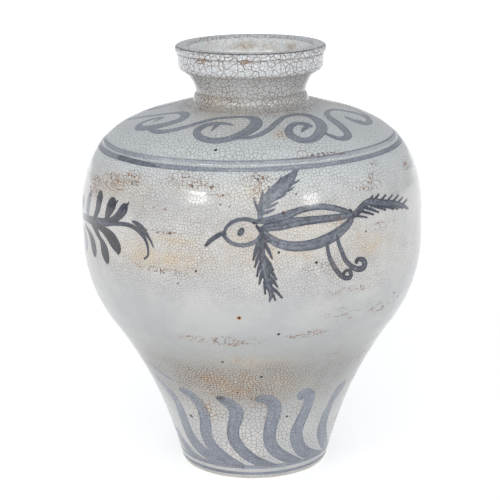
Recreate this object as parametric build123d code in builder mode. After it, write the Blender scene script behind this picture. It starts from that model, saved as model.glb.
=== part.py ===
from build123d import *
import os
from math import acos, atan2, cos, degrees, radians, sin, sqrt, tan

os.makedirs("parts", exist_ok=True)

# Overall sizes of the glazed vase
height = 355
foot_radius = 62
belly_radius = 141
neck_radius = 44.8
lip_radius = 61.6

# Body outline, from the foot wall up to the crown of the shoulder
foot_height = 14
foot_flare_angle = 14.3
belly_arc_radius = 118
belly_band = 25
upper_belly_arc_radius = 97
upper_belly_turn = 24.3
shoulder_arc_radius = 59
shoulder_turn = 38.2
crown_arc_radius = 118
crown_turn = 12.1

# Neck, its ring and the collar of the mouth
neck_height = 25.2
neck_ring_height = 7
neck_ring_spread = 2.4
neck_ring_bulge_depth = 0.5
neck_lean_angle = 4
collar_height = 20.5
collar_underside = 4.8
collar_corner_radius = 4.5
collar_lean_angle = 2.5
lip_height = 5.6
lip_overhang = 1.2
lip_width = 11
lip_outer_edge = 3.2
lip_inner_edge = 2.6
cup_arc_radius = 9

# Clay wall, floor and foot ring
wall = 7
neck_wall = 7.4
floor_thickness = 9
floor_corner_radius = 22
throat_edge = 2.5
foot_ring_width = 9
recess_depth = 8
recess_corner_radius = 3
foot_edge = 1.2

# Glaze skin, bare below its line on the foot
glaze = 0.9
glaze_line = 1.9

# Incised lines, each a shallow round channel
foot_line_heights = (5.8, 12.4)
foot_line_depth = 0.35
foot_line_round = 3.2
shoulder_line_share = 0.61
fine_line_depth = 0.45
fine_line_round = 1.0
lip_line_depth = 0.8
lip_line_round = 1.1

# Slip seams between the thrown sections, bevelled so that each section seats in the one below
# The upper seam is measured from the start of the belly band, and the neck seam from the neck's root
slip = 0.6
seam_bevel_angle = 20
foot_seam_height = 7
lower_seam_height = 112
upper_seam_height = 12.5
neck_seam_height = 1.2

overrun = 10

# Points and angles worked out from the sizes
foot_flare = radians(foot_flare_angle)
foot_direction = Vector(sin(foot_flare), cos(foot_flare))
foot_inward = Vector(-cos(foot_flare), sin(foot_flare))
foot_pad = Vector(foot_radius - glaze * tan(foot_flare), -glaze)
foot_top = Vector(foot_radius + foot_height * tan(foot_flare), foot_height)
recess_radius = foot_radius - foot_ring_width
foot_middle = foot_radius - foot_ring_width / 2
floor_height = recess_depth + floor_thickness
mouth_radius = lip_radius - lip_width
neck_root_radius = neck_radius + neck_ring_spread
collar_foot = Vector(lip_radius - collar_underside, height - collar_height)
neck_root_height = collar_foot.Y - neck_height
lip_foot_height = height - lip_height


# Shoulder line at a depth under the outside, from the belly band's top to a radius on the crown
def shoulder_line(start, depth, end_radius):
    upper_belly = JernArc(start, (0, 1), upper_belly_arc_radius - depth, upper_belly_turn)
    shoulder = JernArc(upper_belly @ 1, upper_belly % 1, shoulder_arc_radius - depth, shoulder_turn)
    crown = JernArc(shoulder @ 1, shoulder % 1, crown_arc_radius - depth, crown_turn)
    slope = crown % 1
    run = ((crown @ 1).X - end_radius) / -slope.X
    rim = Line(crown @ 1, crown @ 1 + slope * run)
    return shoulder, rim


# The shoulder's rise to the neck's root places the belly
with BuildLine(mode=Mode.PRIVATE):
    shoulder_rise = (shoulder_line((belly_radius, 0), 0, neck_root_radius)[1] @ 1).Y
belly_height = neck_root_height - shoulder_rise - belly_band

# The waist arc is the one that runs smoothly from the foot wall into the belly arc
belly_centre = Vector(belly_radius - belly_arc_radius, belly_height)
belly_reach = foot_top - belly_centre
belly_slack = belly_arc_radius + belly_reach.dot(foot_inward)
waist_arc_radius = (belly_reach.length**2 - belly_arc_radius**2) / (2 * belly_slack)
waist_reach = foot_top - foot_inward * waist_arc_radius - belly_centre
belly_turn = degrees(atan2(-waist_reach.Y, waist_reach.X))


# Body wall line at a depth under the outside, from the foot wall to a radius on the crown
def body_line(depth, end_radius):
    start = foot_top + foot_inward * depth
    waist = JernArc(start, foot_direction, waist_arc_radius + depth, foot_flare_angle - belly_turn)
    belly = JernArc(waist @ 1, waist % 1, belly_arc_radius - depth, belly_turn)
    band = Line(belly @ 1, belly @ 1 + Vector(0, belly_band))
    shoulder, rim = shoulder_line(band @ 1, depth, end_radius)
    return waist, shoulder, rim


# Incised channel across the surface at a point, with the surface's own direction there
def incise(point, direction, round_radius, depth):
    outward = Vector(direction.Y, -direction.X).normalized()
    centre = point + outward * (round_radius - depth)
    with Locations(centre):
        Circle(round_radius, mode=Mode.SUBTRACT)


# Outside of the vase as a solid form, closed across the axis
with BuildSketch(Plane.XZ) as outside:
    with BuildLine():
        Polyline((-overrun, recess_depth), (recess_radius, recess_depth), (recess_radius, -glaze), foot_pad)
        foot_wall = Line(foot_pad, foot_top)
        waist_arc, shoulder_arc, crown_rim = body_line(0, neck_root_radius)
        neck_root = crown_rim @ 1
        ring_top = Vector(neck_radius, neck_root.Y + neck_ring_height)
        ring_middle = (neck_root + ring_top) * 0.5 + Vector(neck_ring_bulge_depth, 0)
        ThreePointArc(neck_root, ring_middle, ring_top)
        neck_lean = radians(neck_lean_angle)
        neck_arc = TangentArc(ring_top, collar_foot, tangent=(sin(neck_lean), cos(neck_lean)))
        collar_lean = radians(collar_lean_angle)
        collar_direction = Vector(sin(collar_lean), cos(collar_lean))
        collar_turn = (neck_arc % 1).get_angle(collar_direction)
        collar_corner = JernArc(neck_arc @ 1, neck_arc % 1, collar_corner_radius, collar_turn)
        collar_rise = lip_foot_height - lip_overhang - (collar_corner @ 1).Y
        collar_wall = Line(collar_corner @ 1, collar_corner @ 1 + collar_direction * collar_rise)
        lip_corner = Vector(lip_radius, height)
        Polyline(
            collar_wall @ 1,
            (lip_radius, lip_foot_height),
            lip_corner,
            (-overrun, height),
            (-overrun, recess_depth),
        )
    make_face()
    fillet(outside.vertices().sort_by_distance(lip_corner)[0], lip_outer_edge)
    fillet(outside.vertices().sort_by_distance(foot_pad)[0], foot_edge + glaze)
    fillet(outside.vertices().sort_by_distance((recess_radius, -glaze))[0], foot_edge + glaze)
    fillet(outside.vertices().sort_by_distance((recess_radius, recess_depth))[0], recess_corner_radius)
    for line_height in foot_line_heights:
        line_point = Vector(foot_radius + line_height * tan(foot_flare), line_height)
        incise(line_point, foot_direction, foot_line_round, foot_line_depth)
    incise(
        shoulder_arc @ shoulder_line_share,
        shoulder_arc % shoulder_line_share,
        fine_line_round,
        fine_line_depth,
    )
    incise(ring_top, neck_arc % 0, fine_line_round, fine_line_depth)
    incise(collar_wall @ 1, collar_direction, lip_line_round, lip_line_depth)

# The throat keeps to the neck's own curve and opens into a cup under the lip
neck_centre = neck_arc.arc_center
throat_arc_radius = neck_arc.radius + neck_wall
throat_radius = neck_centre.X - throat_arc_radius
cup_reach = neck_centre.X + cup_arc_radius - mouth_radius
cup_turn = degrees(acos(cup_reach / (throat_arc_radius + cup_arc_radius)))

# Space inside the vase, from the floor up through the mouth
with BuildSketch(Plane.XZ) as hollow:
    with BuildLine():
        inner_waist, inner_shoulder, inner_rim = body_line(wall, throat_radius)
        throat = Line(inner_rim @ 1, (throat_radius, neck_centre.Y))
        flare = JernArc(throat @ 1, (0, 1), throat_arc_radius, -cup_turn)
        cup = JernArc(flare @ 1, flare % 1, cup_arc_radius, cup_turn)
        wall_start = inner_waist @ 0
        wall_foot = wall_start - foot_direction * floor_height
        Polyline(
            cup @ 1,
            (mouth_radius, height + overrun),
            (-overrun, height + overrun),
            (-overrun, wall_foot.Y),
            wall_foot,
            wall_start,
        )
    make_face()
    with Locations((-overrun, floor_height)):
        Rectangle(belly_radius + overrun, height, align=(Align.MIN, Align.MIN), mode=Mode.INTERSECT)
    floor_corner = hollow.vertices().group_by(Axis.Y)[0].sort_by(Axis.X)[-1]
    fillet(floor_corner, floor_corner_radius)
    fillet(hollow.vertices().sort_by_distance(throat @ 0)[0], throat_edge)

# Whole wall in section, glaze included
with BuildSketch(Plane.XZ) as glazed_wall:
    add(outside.sketch_local)
    add(hollow.sketch_local, mode=Mode.SUBTRACT)
    fillet(glazed_wall.vertices().sort_by_distance((mouth_radius, height))[0], lip_inner_edge)

# Region inside the clay, one glaze thickness larger than the hollow
with BuildSketch(Plane.XZ) as clay_hollow:
    add(hollow.sketch_local)
    offset(amount=glaze)

# Clay wall in section, everywhere one glaze thickness under the surface
with BuildSketch(Plane.XZ) as clay_wall:
    add(outside.sketch_local)
    offset(amount=-glaze)
    add(clay_hollow.sketch_local, mode=Mode.SUBTRACT)
    clay_lip_corner = (mouth_radius + glaze, height - glaze)
    fillet(clay_wall.vertices().sort_by_distance(clay_lip_corner)[0], lip_inner_edge - glaze)
    Rectangle(belly_radius, height, align=(Align.MIN, Align.MIN), mode=Mode.INTERSECT)

# Glaze skin in section, above the glaze line of the foot
with BuildSketch(Plane.XZ) as skin:
    add(glazed_wall.sketch_local)
    add(clay_wall.sketch_local, mode=Mode.SUBTRACT)
    with Locations((0, glaze_line)):
        Rectangle(belly_radius + overrun, height, align=(Align.MIN, Align.MIN), mode=Mode.INTERSECT)

# Region that reaches half way into the wall from the inside
with BuildSketch(Plane.XZ) as inner_half:
    add(hollow.sketch_local)
    offset(amount=wall / 2)

# Seams: a point on each one, and how steeply it rises from there towards the axis
crown_slope = crown_rim % 1
crown_slope_angle = degrees(atan2(crown_slope.Y, -crown_slope.X))
foot_seam = (foot_radius, foot_seam_height, 0)
lower_seam = (belly_radius, lower_seam_height, seam_bevel_angle)
upper_seam = (belly_radius, belly_height + upper_seam_height, seam_bevel_angle)
neck_seam = (neck_root_radius, neck_root.Y + neck_seam_height, crown_slope_angle)
collar_seam = (collar_foot.X, collar_foot.Y, seam_bevel_angle)
below_all = (0, -overrun, 0)
above_all = (0, height + overrun, 0)


# Stretch of the clay wall above one seam, from a distance over it, and below another
def wall_between(low_seam, low_gap, high_seam, high_gap, reach):
    add(clay_wall.sketch_local)
    corners = []
    for (radius, seam_height, bevel), gap in ((low_seam, low_gap), (high_seam, high_gap)):
        rise = tan(radians(bevel))
        corners.append((0, seam_height + gap + radius * rise))
        corners.append((reach, seam_height + gap + (radius - reach) * rise))
    low_axis, low_rim, high_axis, high_rim = corners
    Polygon(low_axis, low_rim, high_rim, high_axis, align=None, mode=Mode.INTERSECT)


body_reach = belly_radius + overrun
neck_reach = lip_radius + overrun

# Turned foot ring, with the bare pad that the vase stands on
with BuildPart() as foot_ring:
    with BuildSketch(Plane.XZ):
        wall_between(below_all, 0, foot_seam, 0, body_reach)
    revolve(axis=Axis.Z)
foot_ring.part.label = "foot_ring"
export_step(foot_ring.part, "parts/foot_ring.step")

# Lower body, thrown with the floor
with BuildPart() as lower_body:
    with BuildSketch(Plane.XZ):
        wall_between(foot_seam, slip, lower_seam, 0, body_reach)
    revolve(axis=Axis.Z)
lower_body.part.label = "lower_body"
export_step(lower_body.part, "parts/lower_body.step")

# Belly, the widest section
with BuildPart() as belly_section:
    with BuildSketch(Plane.XZ):
        wall_between(lower_seam, slip, upper_seam, 0, body_reach)
    revolve(axis=Axis.Z)
belly_section.part.label = "belly_section"
export_step(belly_section.part, "parts/belly_section.step")

# Shoulder, closed in to the opening that carries the neck
with BuildPart() as shoulder_section:
    with BuildSketch(Plane.XZ):
        wall_between(upper_seam, slip, neck_seam, 0, body_reach)
    revolve(axis=Axis.Z)
shoulder_section.part.label = "shoulder_section"
export_step(shoulder_section.part, "parts/shoulder_section.step")

# Neck, flaring out to carry the collar
with BuildPart() as neck:
    with BuildSketch(Plane.XZ):
        wall_between(neck_seam, slip, collar_seam, 0, neck_reach)
    revolve(axis=Axis.Z)
neck.part.label = "neck"
export_step(neck.part, "parts/neck.step")

# Collar of the mouth, with its rolled lip
with BuildPart() as mouth_collar:
    with BuildSketch(Plane.XZ):
        wall_between(collar_seam, slip, above_all, 0, neck_reach)
    revolve(axis=Axis.Z)
mouth_collar.part.label = "mouth_collar"
export_step(mouth_collar.part, "parts/mouth_collar.step")

# Slip that lutes each section to the next, squeezed thin in the seam
seams = {
    "foot_slip": (foot_seam, body_reach),
    "lower_slip": (lower_seam, body_reach),
    "upper_slip": (upper_seam, body_reach),
    "neck_slip": (neck_seam, neck_reach),
    "collar_slip": (collar_seam, neck_reach),
}
for name, (seam, reach) in seams.items():
    with BuildPart() as slip_ring:
        with BuildSketch(Plane.XZ):
            wall_between(seam, 0, seam, slip, reach)
        revolve(axis=Axis.Z)
    slip_ring.part.label = name
    export_step(slip_ring.part, f"parts/{name}.step")

# Glaze over the outside, from the foot's glaze line up over the lip
with BuildPart() as outer_glaze:
    with BuildSketch(Plane.XZ):
        add(skin.sketch_local)
        add(inner_half.sketch_local, mode=Mode.SUBTRACT)
        with Locations((0, glaze_line)):
            Rectangle(foot_middle, recess_depth, align=(Align.MIN, Align.MIN), mode=Mode.SUBTRACT)
    revolve(axis=Axis.Z)
outer_glaze.part.label = "outer_glaze"
export_step(outer_glaze.part, "parts/outer_glaze.step")

# Glaze over the inside, from the lip down to the floor
with BuildPart() as inner_glaze:
    with BuildSketch(Plane.XZ):
        add(skin.sketch_local)
        add(inner_half.sketch_local, mode=Mode.INTERSECT)
    revolve(axis=Axis.Z)
inner_glaze.part.label = "inner_glaze"
export_step(inner_glaze.part, "parts/inner_glaze.step")

# Glaze in the recess under the floor
with BuildPart() as base_glaze:
    with BuildSketch(Plane.XZ):
        add(skin.sketch_local)
        with Locations((0, glaze_line)):
            Rectangle(foot_middle, recess_depth, align=(Align.MIN, Align.MIN), mode=Mode.INTERSECT)
    revolve(axis=Axis.Z)
base_glaze.part.label = "base_glaze"
export_step(base_glaze.part, "parts/base_glaze.step")
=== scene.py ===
import math

import bpy
import numpy as np
from mathutils import Matrix, Vector


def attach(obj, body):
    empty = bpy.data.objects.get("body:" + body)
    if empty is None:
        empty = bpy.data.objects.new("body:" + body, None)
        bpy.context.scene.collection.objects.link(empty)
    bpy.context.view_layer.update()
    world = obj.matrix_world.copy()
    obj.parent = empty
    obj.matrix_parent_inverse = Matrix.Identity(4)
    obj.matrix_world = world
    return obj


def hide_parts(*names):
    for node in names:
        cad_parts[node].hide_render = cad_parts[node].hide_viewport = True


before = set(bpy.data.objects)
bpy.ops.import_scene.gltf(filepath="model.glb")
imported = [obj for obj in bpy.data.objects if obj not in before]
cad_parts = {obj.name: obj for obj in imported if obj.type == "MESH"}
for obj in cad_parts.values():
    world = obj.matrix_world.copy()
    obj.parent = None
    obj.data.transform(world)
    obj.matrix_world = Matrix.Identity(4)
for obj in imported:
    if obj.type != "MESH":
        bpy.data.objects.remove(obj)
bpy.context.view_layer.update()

mm = 0.001
turn = 2 * math.pi
print("frame loaded:", len(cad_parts), "nodes")


# Material tools

class Value:
    # a number socket, so that shader sums read as plain maths
    def __init__(self, finish, socket):
        self.finish = finish
        self.socket = socket

    def math(self, operation, *others):
        return self.finish.math(operation, self, *others)

    def __add__(self, other):
        return self.math("ADD", other)

    def __sub__(self, other):
        return self.math("SUBTRACT", other)

    def __mul__(self, other):
        return self.math("MULTIPLY", other)

    def __truediv__(self, other):
        return self.math("DIVIDE", other)

    def __neg__(self):
        return self.math("MULTIPLY", -1)

    def __rsub__(self, other):
        return self.finish.math("SUBTRACT", other, self)

    def __rtruediv__(self, other):
        return self.finish.math("DIVIDE", other, self)

    __radd__ = __add__
    __rmul__ = __mul__

    def atLeast(self, other):
        return self.math("MAXIMUM", other)

    def atMost(self, other):
        return self.math("MINIMUM", other)

    def size(self):
        return self.math("ABSOLUTE")

    def fade(self, low, high, start=0, end=1):
        # eases from start at low to end at high
        settings = {"interpolation_type": "SMOOTHSTEP"}
        sockets = {"Value": self, "From Min": low, "From Max": high, "To Min": start, "To Max": end}
        return self.finish.value("ShaderNodeMapRange", settings, sockets, "Result")

    def hump(self, middle, width):
        # one at the middle, nothing past the width on either side
        return (self - middle).size().fade(0, width, 1, 0)


class Finish:
    # one procedural material, with its nodes added by the methods below
    def __init__(self, name):
        self.material = bpy.data.materials.new(name)
        self.material.use_nodes = True
        self.nodes = self.material.node_tree.nodes
        self.links = self.material.node_tree.links
        self.nodes.clear()
        self.place = self.add("ShaderNodeTexCoord").outputs["Object"]
        self.shader = self.add("ShaderNodeBsdfPrincipled")
        output = self.add("ShaderNodeOutputMaterial")
        self.links.new(self.shader.outputs[0], output.inputs["Surface"])

    def add(self, kind, settings={}, sockets={}):
        # sockets are given by name, or in their order
        node = self.nodes.new(kind)
        for key, setting in settings.items():
            setattr(node, key, setting)
        pairs = sockets.items() if isinstance(sockets, dict) else enumerate(sockets)
        for key, what in pairs:
            self.feed(node.inputs[key], what)
        return node

    def feed(self, socket, what):
        if isinstance(what, Value):
            what = what.socket
        if isinstance(what, bpy.types.NodeSocket):
            self.links.new(what, socket)
        elif isinstance(what, tuple) and socket.type == "RGBA":
            socket.default_value = (*what[:3], 1)
        else:
            socket.default_value = what

    def value(self, kind, settings={}, sockets={}, output=0):
        return Value(self, self.add(kind, settings, sockets).outputs[output])

    def math(self, operation, *numbers):
        return self.value("ShaderNodeMath", {"operation": operation}, numbers)

    def vector(self, operation, *places):
        return self.add("ShaderNodeVectorMath", {"operation": operation}, places).outputs[0]

    def attribute(self, name):
        return self.value("ShaderNodeAttribute", {"attribute_name": name}, output="Fac")

    def height(self):
        # in millimetres
        return self.value("ShaderNodeSeparateXYZ", {}, {"Vector": self.place}, "Z") / mm

    def noise(self, grain, detail=2, rough=0.5, place=None, seed=0):
        # soft noise about a half, with a grain given in metres
        sockets = {
            "Vector": self.shifted(place or self.place, seed),
            "Scale": 1 / grain,
            "Detail": detail,
            "Roughness": rough,
        }
        return self.value("ShaderNodeTexNoise", {}, sockets, "Fac")

    def shifted(self, place, seed):
        # the same pattern read somewhere else
        if not seed:
            return place
        return self.vector("ADD", place, (seed * 0.137, seed * 0.271, seed * 0.419))

    def pushed(self, place, grain, amount, seed=0):
        # a place pushed about by noise, by up to half the amount
        sockets = {"Vector": self.shifted(self.place, seed), "Scale": 1 / grain, "Detail": 2}
        colour = self.add("ShaderNodeTexNoise", {}, sockets).outputs["Color"]
        sockets = {"Vector": self.vector("SUBTRACT", colour, (0.5, 0.5, 0.5)), "Scale": amount}
        push = self.add("ShaderNodeVectorMath", {"operation": "SCALE"}, sockets).outputs[0]
        return self.vector("ADD", place, push)

    def rolledOut(self, rise):
        # angle round the axis against rise, so that a net keeps its shape all the way up; the front half
        # and the back half join at both sides along a ragged line, and lie far apart in the net
        split = self.add("ShaderNodeSeparateXYZ", {}, {"Vector": self.place})
        x, y = Value(self, split.outputs["X"]), Value(self, split.outputs["Y"])
        ragged = y + (self.noise(0.012, 2, 0.6, seed=21) - 0.5) * 0.09
        behind = ragged.fade(-0.0001, 0.0001)
        near = self.math("ARCTAN2", x, -y)
        far = self.math("ARCTAN2", -x, y) + 20
        angle = near + (far - near) * behind
        return self.add("ShaderNodeCombineXYZ", {}, {"X": angle, "Y": rise}).outputs[0]

    def cracks(self, cell, place, reach=0, seed=0):
        # distance in millimetres to the nearest edge between cells, which are flat where a reach is
        # given: the metres that one unit of the place stands for
        settings = {"feature": "DISTANCE_TO_EDGE", "voronoi_dimensions": "2D" if reach else "3D"}
        sockets = {"Vector": self.shifted(place, seed), "Scale": (reach or 1) / cell, "Randomness": 1}
        return self.value("ShaderNodeTexVoronoi", settings, sockets, "Distance") * (cell / mm)

    def dots(self, cell, seed=0):
        # distance in millimetres to the nearest scattered point, and that point's own number
        sockets = {"Vector": self.shifted(self.place, seed), "Scale": 1 / cell, "Randomness": 1}
        node = self.add("ShaderNodeTexVoronoi", {"feature": "F1"}, sockets)
        own = self.value("ShaderNodeSeparateColor", {}, {"Color": node.outputs["Color"]}, 0)
        return Value(self, node.outputs["Distance"]) * (cell / mm), own

    def mix(self, amount, under, over):
        settings = {"data_type": "RGBA", "clamp_factor": True}
        return self.add("ShaderNodeMix", settings, {0: amount, 6: under, 7: over}).outputs[2]

    def bump(self, height, distance, strength=1, under=None):
        # height runs from nothing to one over the distance
        sockets = {"Height": height, "Distance": distance, "Strength": strength}
        if under:
            sockets["Normal"] = under
        return self.add("ShaderNodeBump", {}, sockets).outputs[0]

    def finishWith(self, **sockets):
        # sockets of the shader by name, with an underscore for each space
        for name, what in sockets.items():
            self.feed(self.shader.inputs[name.replace("_", " ")], what)
        return self.material


# Profile of the vase, walked from the foot to the lip and down inside

vase = {
    "height": 355, "footRadius": 62, "bellyRadius": 141, "neckRadius": 44.8, "lipRadius": 61.6,
    "footHeight": 14, "footFlare": 14.3,
    "bellyArc": 118, "bellyBand": 25, "upperBellyArc": 97, "upperBellyTurn": 24.3,
    "shoulderArc": 59, "shoulderTurn": 38.2, "crownArc": 118, "crownTurn": 12.1,
    "neckHeight": 25.2, "ringHeight": 7, "ringSpread": 2.4, "ringBulge": 0.5, "neckLean": 4,
    "collarHeight": 20.5, "collarUnderside": 4.8, "collarCorner": 4.5, "collarLean": 2.5,
    "lipHeight": 5.6, "lipOverhang": 1.2, "lipWidth": 11, "lipOuterEdge": 3.2, "lipInnerEdge": 2.6,
    "cupArc": 9, "wall": 7, "neckWall": 7.4, "floorHeight": 17, "floorCorner": 22,
    "footRingWidth": 9, "recessDepth": 8, "recessCorner": 3,
    "glaze": 0.9, "glazeLine": 1.9, "glazeTuck": 0.2, "glazeTurn": 60, "lipEdge": 0.4, "floorBend": 0.8,
}


class Pen:
    # walks a profile in millimetres; heading is in degrees from upright, outward positive
    def __init__(self, r, z, heading, step=0.25):
        self.points = [(r, z)]
        self.heading = heading
        self.step = step

    def line(self, length):
        r, z = self.points[-1]
        lean = math.radians(self.heading)
        for part in np.linspace(0, length, max(2, int(abs(length) / self.step)))[1:]:
            self.points.append((r + part * math.sin(lean), z + part * math.cos(lean)))

    def arc(self, radius, bend):
        # bends outward where positive, towards the axis where negative
        r, z = self.points[-1]
        side = math.copysign(1, bend)
        start = math.radians(self.heading)
        centre = (r + side * radius * math.cos(start), z - side * radius * math.sin(start))
        steps = max(3, int(radius * abs(math.radians(bend)) / self.step))
        for part in np.linspace(0, math.radians(bend), steps)[1:]:
            lean = start + part
            across = side * radius * math.cos(lean)
            self.points.append((centre[0] - across, centre[1] + side * radius * math.sin(lean)))
        self.heading += bend

    def lineTo(self, r, z):
        now = self.points[-1]
        self.heading = math.degrees(math.atan2(r - now[0], z - now[1]))
        self.line(math.dist(now, (r, z)))

    def arcTo(self, r, z):
        # leaves along the heading and meets the point on one arc
        now = self.points[-1]
        chord = math.degrees(math.atan2(r - now[0], z - now[1]))
        bend = 2 * (chord - self.heading)
        self.arc(math.dist(now, (r, z)) / 2 / math.sin(abs(math.radians(bend)) / 2), bend)

    def bulgeTo(self, r, z, bulge, steps=28):
        # a straight line that swells outward in the middle
        now = self.points[-1]
        for part in np.linspace(0, 1, steps)[1:]:
            out = 4 * bulge * part * (1 - part)
            self.points.append((now[0] + (r - now[0]) * part + out, now[1] + (z - now[1]) * part))

    def array(self):
        return np.array(self.points)


def shoulderTurns(pen, inset, endRadius):
    # from the widest band up over the shoulder, and in along the crown to a radius
    pen.arc(vase["upperBellyArc"] - inset, -vase["upperBellyTurn"])
    pen.arc(vase["shoulderArc"] - inset, -vase["shoulderTurn"])
    pen.arc(vase["crownArc"] - inset, -vase["crownTurn"])
    pen.line((pen.points[-1][0] - endRadius) / -math.sin(math.radians(pen.heading)))


def bodyTurns(pen, inset, endRadius):
    pen.arc(waistArc + inset, bellyLean - vase["footFlare"])
    pen.arc(vase["bellyArc"] - inset, -bellyLean)
    pen.line(vase["bellyBand"])
    shoulderTurns(pen, inset, endRadius)


flare = math.radians(vase["footFlare"])
footTop = np.array([vase["footRadius"] + vase["footHeight"] * math.tan(flare), vase["footHeight"]])
footOut = np.array([math.cos(flare), -math.sin(flare)])
neckRootRadius = vase["neckRadius"] + vase["ringSpread"]
collarFoot = (vase["lipRadius"] - vase["collarUnderside"], vase["height"] - vase["collarHeight"])
neckRootHeight = collarFoot[1] - vase["neckHeight"]
mouthRadius = vase["lipRadius"] - vase["lipWidth"]

# the shoulder's own rise places the belly, as in the construction
shoulderPen = Pen(vase["bellyRadius"], 0, 0)
shoulderTurns(shoulderPen, 0, neckRootRadius)
bellyHeight = neckRootHeight - shoulderPen.points[-1][1] - vase["bellyBand"]
bellyReach = footTop - np.array([vase["bellyRadius"] - vase["bellyArc"], bellyHeight])
waistArc = (bellyReach @ bellyReach - vase["bellyArc"] ** 2) / 2 / (vase["bellyArc"] - bellyReach @ footOut)
waistReach = bellyReach + footOut * waistArc
bellyLean = math.degrees(math.atan2(-waistReach[1], waistReach[0]))


def outerProfile():
    # starts on the clay at the glaze line, and ends just inside the mouth
    lineOut = vase["footRadius"] + vase["glazeLine"] * math.tan(flare)
    tuck, bend = vase["glazeTuck"], vase["glazeTurn"]
    pen = Pen(lineOut - vase["glaze"], vase["glazeLine"] - tuck, vase["footFlare"] + bend)
    pen.arc(vase["glaze"], -bend)
    pen.line(footTop[1] / math.cos(flare) - vase["glazeLine"] - 2 * tuck)
    pen.lineTo(*footTop)
    pen.heading = vase["footFlare"]
    bodyTurns(pen, 0, neckRootRadius)
    pen.bulgeTo(vase["neckRadius"], neckRootHeight + vase["ringHeight"], vase["ringBulge"])
    pen.heading = vase["neckLean"]
    pen.arcTo(*collarFoot)
    pen.arc(vase["collarCorner"], vase["collarLean"] - pen.heading)
    lipFoot = vase["height"] - vase["lipHeight"]
    pen.line((lipFoot - vase["lipOverhang"] - pen.points[-1][1]) / math.cos(math.radians(pen.heading)))
    edge = vase["lipEdge"]
    pen.lineTo(vase["lipRadius"] - edge, lipFoot)
    pen.points.append((vase["lipRadius"], lipFoot + edge))
    pen.heading = 0
    pen.line(vase["lipHeight"] - vase["lipOuterEdge"] - edge)
    pen.arc(vase["lipOuterEdge"], -90)
    pen.line(vase["lipWidth"] - vase["lipOuterEdge"] - vase["lipInnerEdge"])
    pen.arc(vase["lipInnerEdge"], -90)
    return pen.array()


def innerProfile():
    # from the middle of the floor up to just inside the mouth
    neckFoot = (vase["neckRadius"], neckRootHeight + vase["ringHeight"])
    chord = math.degrees(math.atan2(collarFoot[0] - neckFoot[0], collarFoot[1] - neckFoot[1]))
    bend = 2 * math.radians(chord - vase["neckLean"])
    neckArc = math.dist(collarFoot, neckFoot) / 2 / math.sin(bend / 2)
    lean = math.radians(vase["neckLean"])
    neckCentre = (neckFoot[0] + neckArc * math.cos(lean), neckFoot[1] - neckArc * math.sin(lean))
    throatArc = neckArc + vase["neckWall"]
    throatRadius = neckCentre[0] - throatArc
    cupReach = neckCentre[0] + vase["cupArc"] - mouthRadius
    cupTurn = math.degrees(math.acos(cupReach / (throatArc + vase["cupArc"])))
    pen = Pen(*(footTop - footOut * vase["wall"]), vase["footFlare"])
    bodyTurns(pen, vase["wall"], throatRadius)
    body = pen.array()
    # the floor meets the wall in a soft bend
    floorHeight = vase["floorHeight"]
    soft = vase["floorCorner"] * vase["floorBend"]
    keep = body[body[:, 1] > floorHeight + soft]
    corner = np.array([keep[0][0] - (keep[0][1] - floorHeight) * math.tan(flare), floorHeight])
    floorEnd = corner - np.array([soft, 0])
    part = np.linspace(0, 1, 40)[:, None]
    bend = floorEnd * (1 - part) ** 2 + corner * 2 * part * (1 - part) + keep[0] * part ** 2
    floor = np.linspace((0, floorHeight), floorEnd, 60)
    # the throat starts a little above the shoulder's last point
    top = Pen(throatRadius, keep[-1][1] + 0.5, 0)
    top.lineTo(throatRadius, neckCentre[1])
    top.heading = 0
    top.arc(throatArc, cupTurn)
    top.arc(vase["cupArc"], -cupTurn)
    top.lineTo(mouthRadius, vase["height"] - vase["lipInnerEdge"])
    return np.vstack([floor[:-1], bend, keep[1:], top.array()])


def baseProfile():
    # from the glaze line inside the foot ring, up and over to the middle of the recess
    ringInside = vase["footRadius"] - vase["footRingWidth"]
    pen = Pen(ringInside + vase["glaze"], vase["glazeLine"] - vase["glazeTuck"], -vase["glazeTurn"])
    pen.arc(vase["glaze"], vase["glazeTurn"])
    pen.lineTo(ringInside, vase["recessDepth"] - vase["recessCorner"])
    pen.heading = 0
    pen.arc(vase["recessCorner"], -90)
    pen.lineTo(0, vase["recessDepth"])
    return pen.array()


def lengths(points):
    # length walked along the points, up to each of them
    return np.concatenate([[0], np.cumsum(np.hypot(*np.diff(points, axis=0).T))])


def resample(points, spacing, fineAt=(), fineSpacing=0.3, reach=2.5):
    # even rows along the profile, closer together where it has a fine line
    along = lengths(points)
    marks = [0.0]
    while marks[-1] < along[-1]:
        near = min([abs(marks[-1] - place) for place in fineAt], default=math.inf)
        marks.append(marks[-1] + (fineSpacing if near < reach else spacing))
    marks = np.array(marks) * along[-1] / marks[-1]
    return marks, np.interp(marks, along, points[:, 0]), np.interp(marks, along, points[:, 1])


outer = outerProfile()
outerAlong = lengths(outer)
lipIndex = int(np.argmax(outer[:, 1]))


def alongAt(height):
    # length along the outside from the foot up to a height
    return np.interp(height, outer[:lipIndex, 1], outerAlong[:lipIndex])


def alongAtRadius(radius):
    # on the crown of the shoulder, where the radius tells places apart better than the height
    crown = (outer[:, 1] > bellyHeight + vase["bellyBand"]) & (outer[:, 1] < neckRootHeight)
    return np.interp(-np.asarray(radius), -outer[crown, 0], outerAlong[crown])


# Incised lines and the unevenness of hand throwing

thrown = {
    # height, depth, half width, and how far the line tips from side to side
    "grooves": [
        (5.8, 0.35, 1.5, 0), (12.4, 0.35, 1.5, 0), (278.9, 0.4, 0.9, 1.4), (316.6, 0.4, 0.9, 0),
        (348.6, 0.8, 0.9, 0),
    ],
    # depth, count round the vase, start, and the rise in millimetres that turns it by a radian
    "swells": [(0.22, 2, 0.7, 90), (0.12, 3, -1.1, -55)],
    "rings": 0.07, "ringStep": 13, "ringWander": 1.5, "wanderStep": 37,
    "lift": 0.12, "calmBelow": 30,
}

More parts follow.
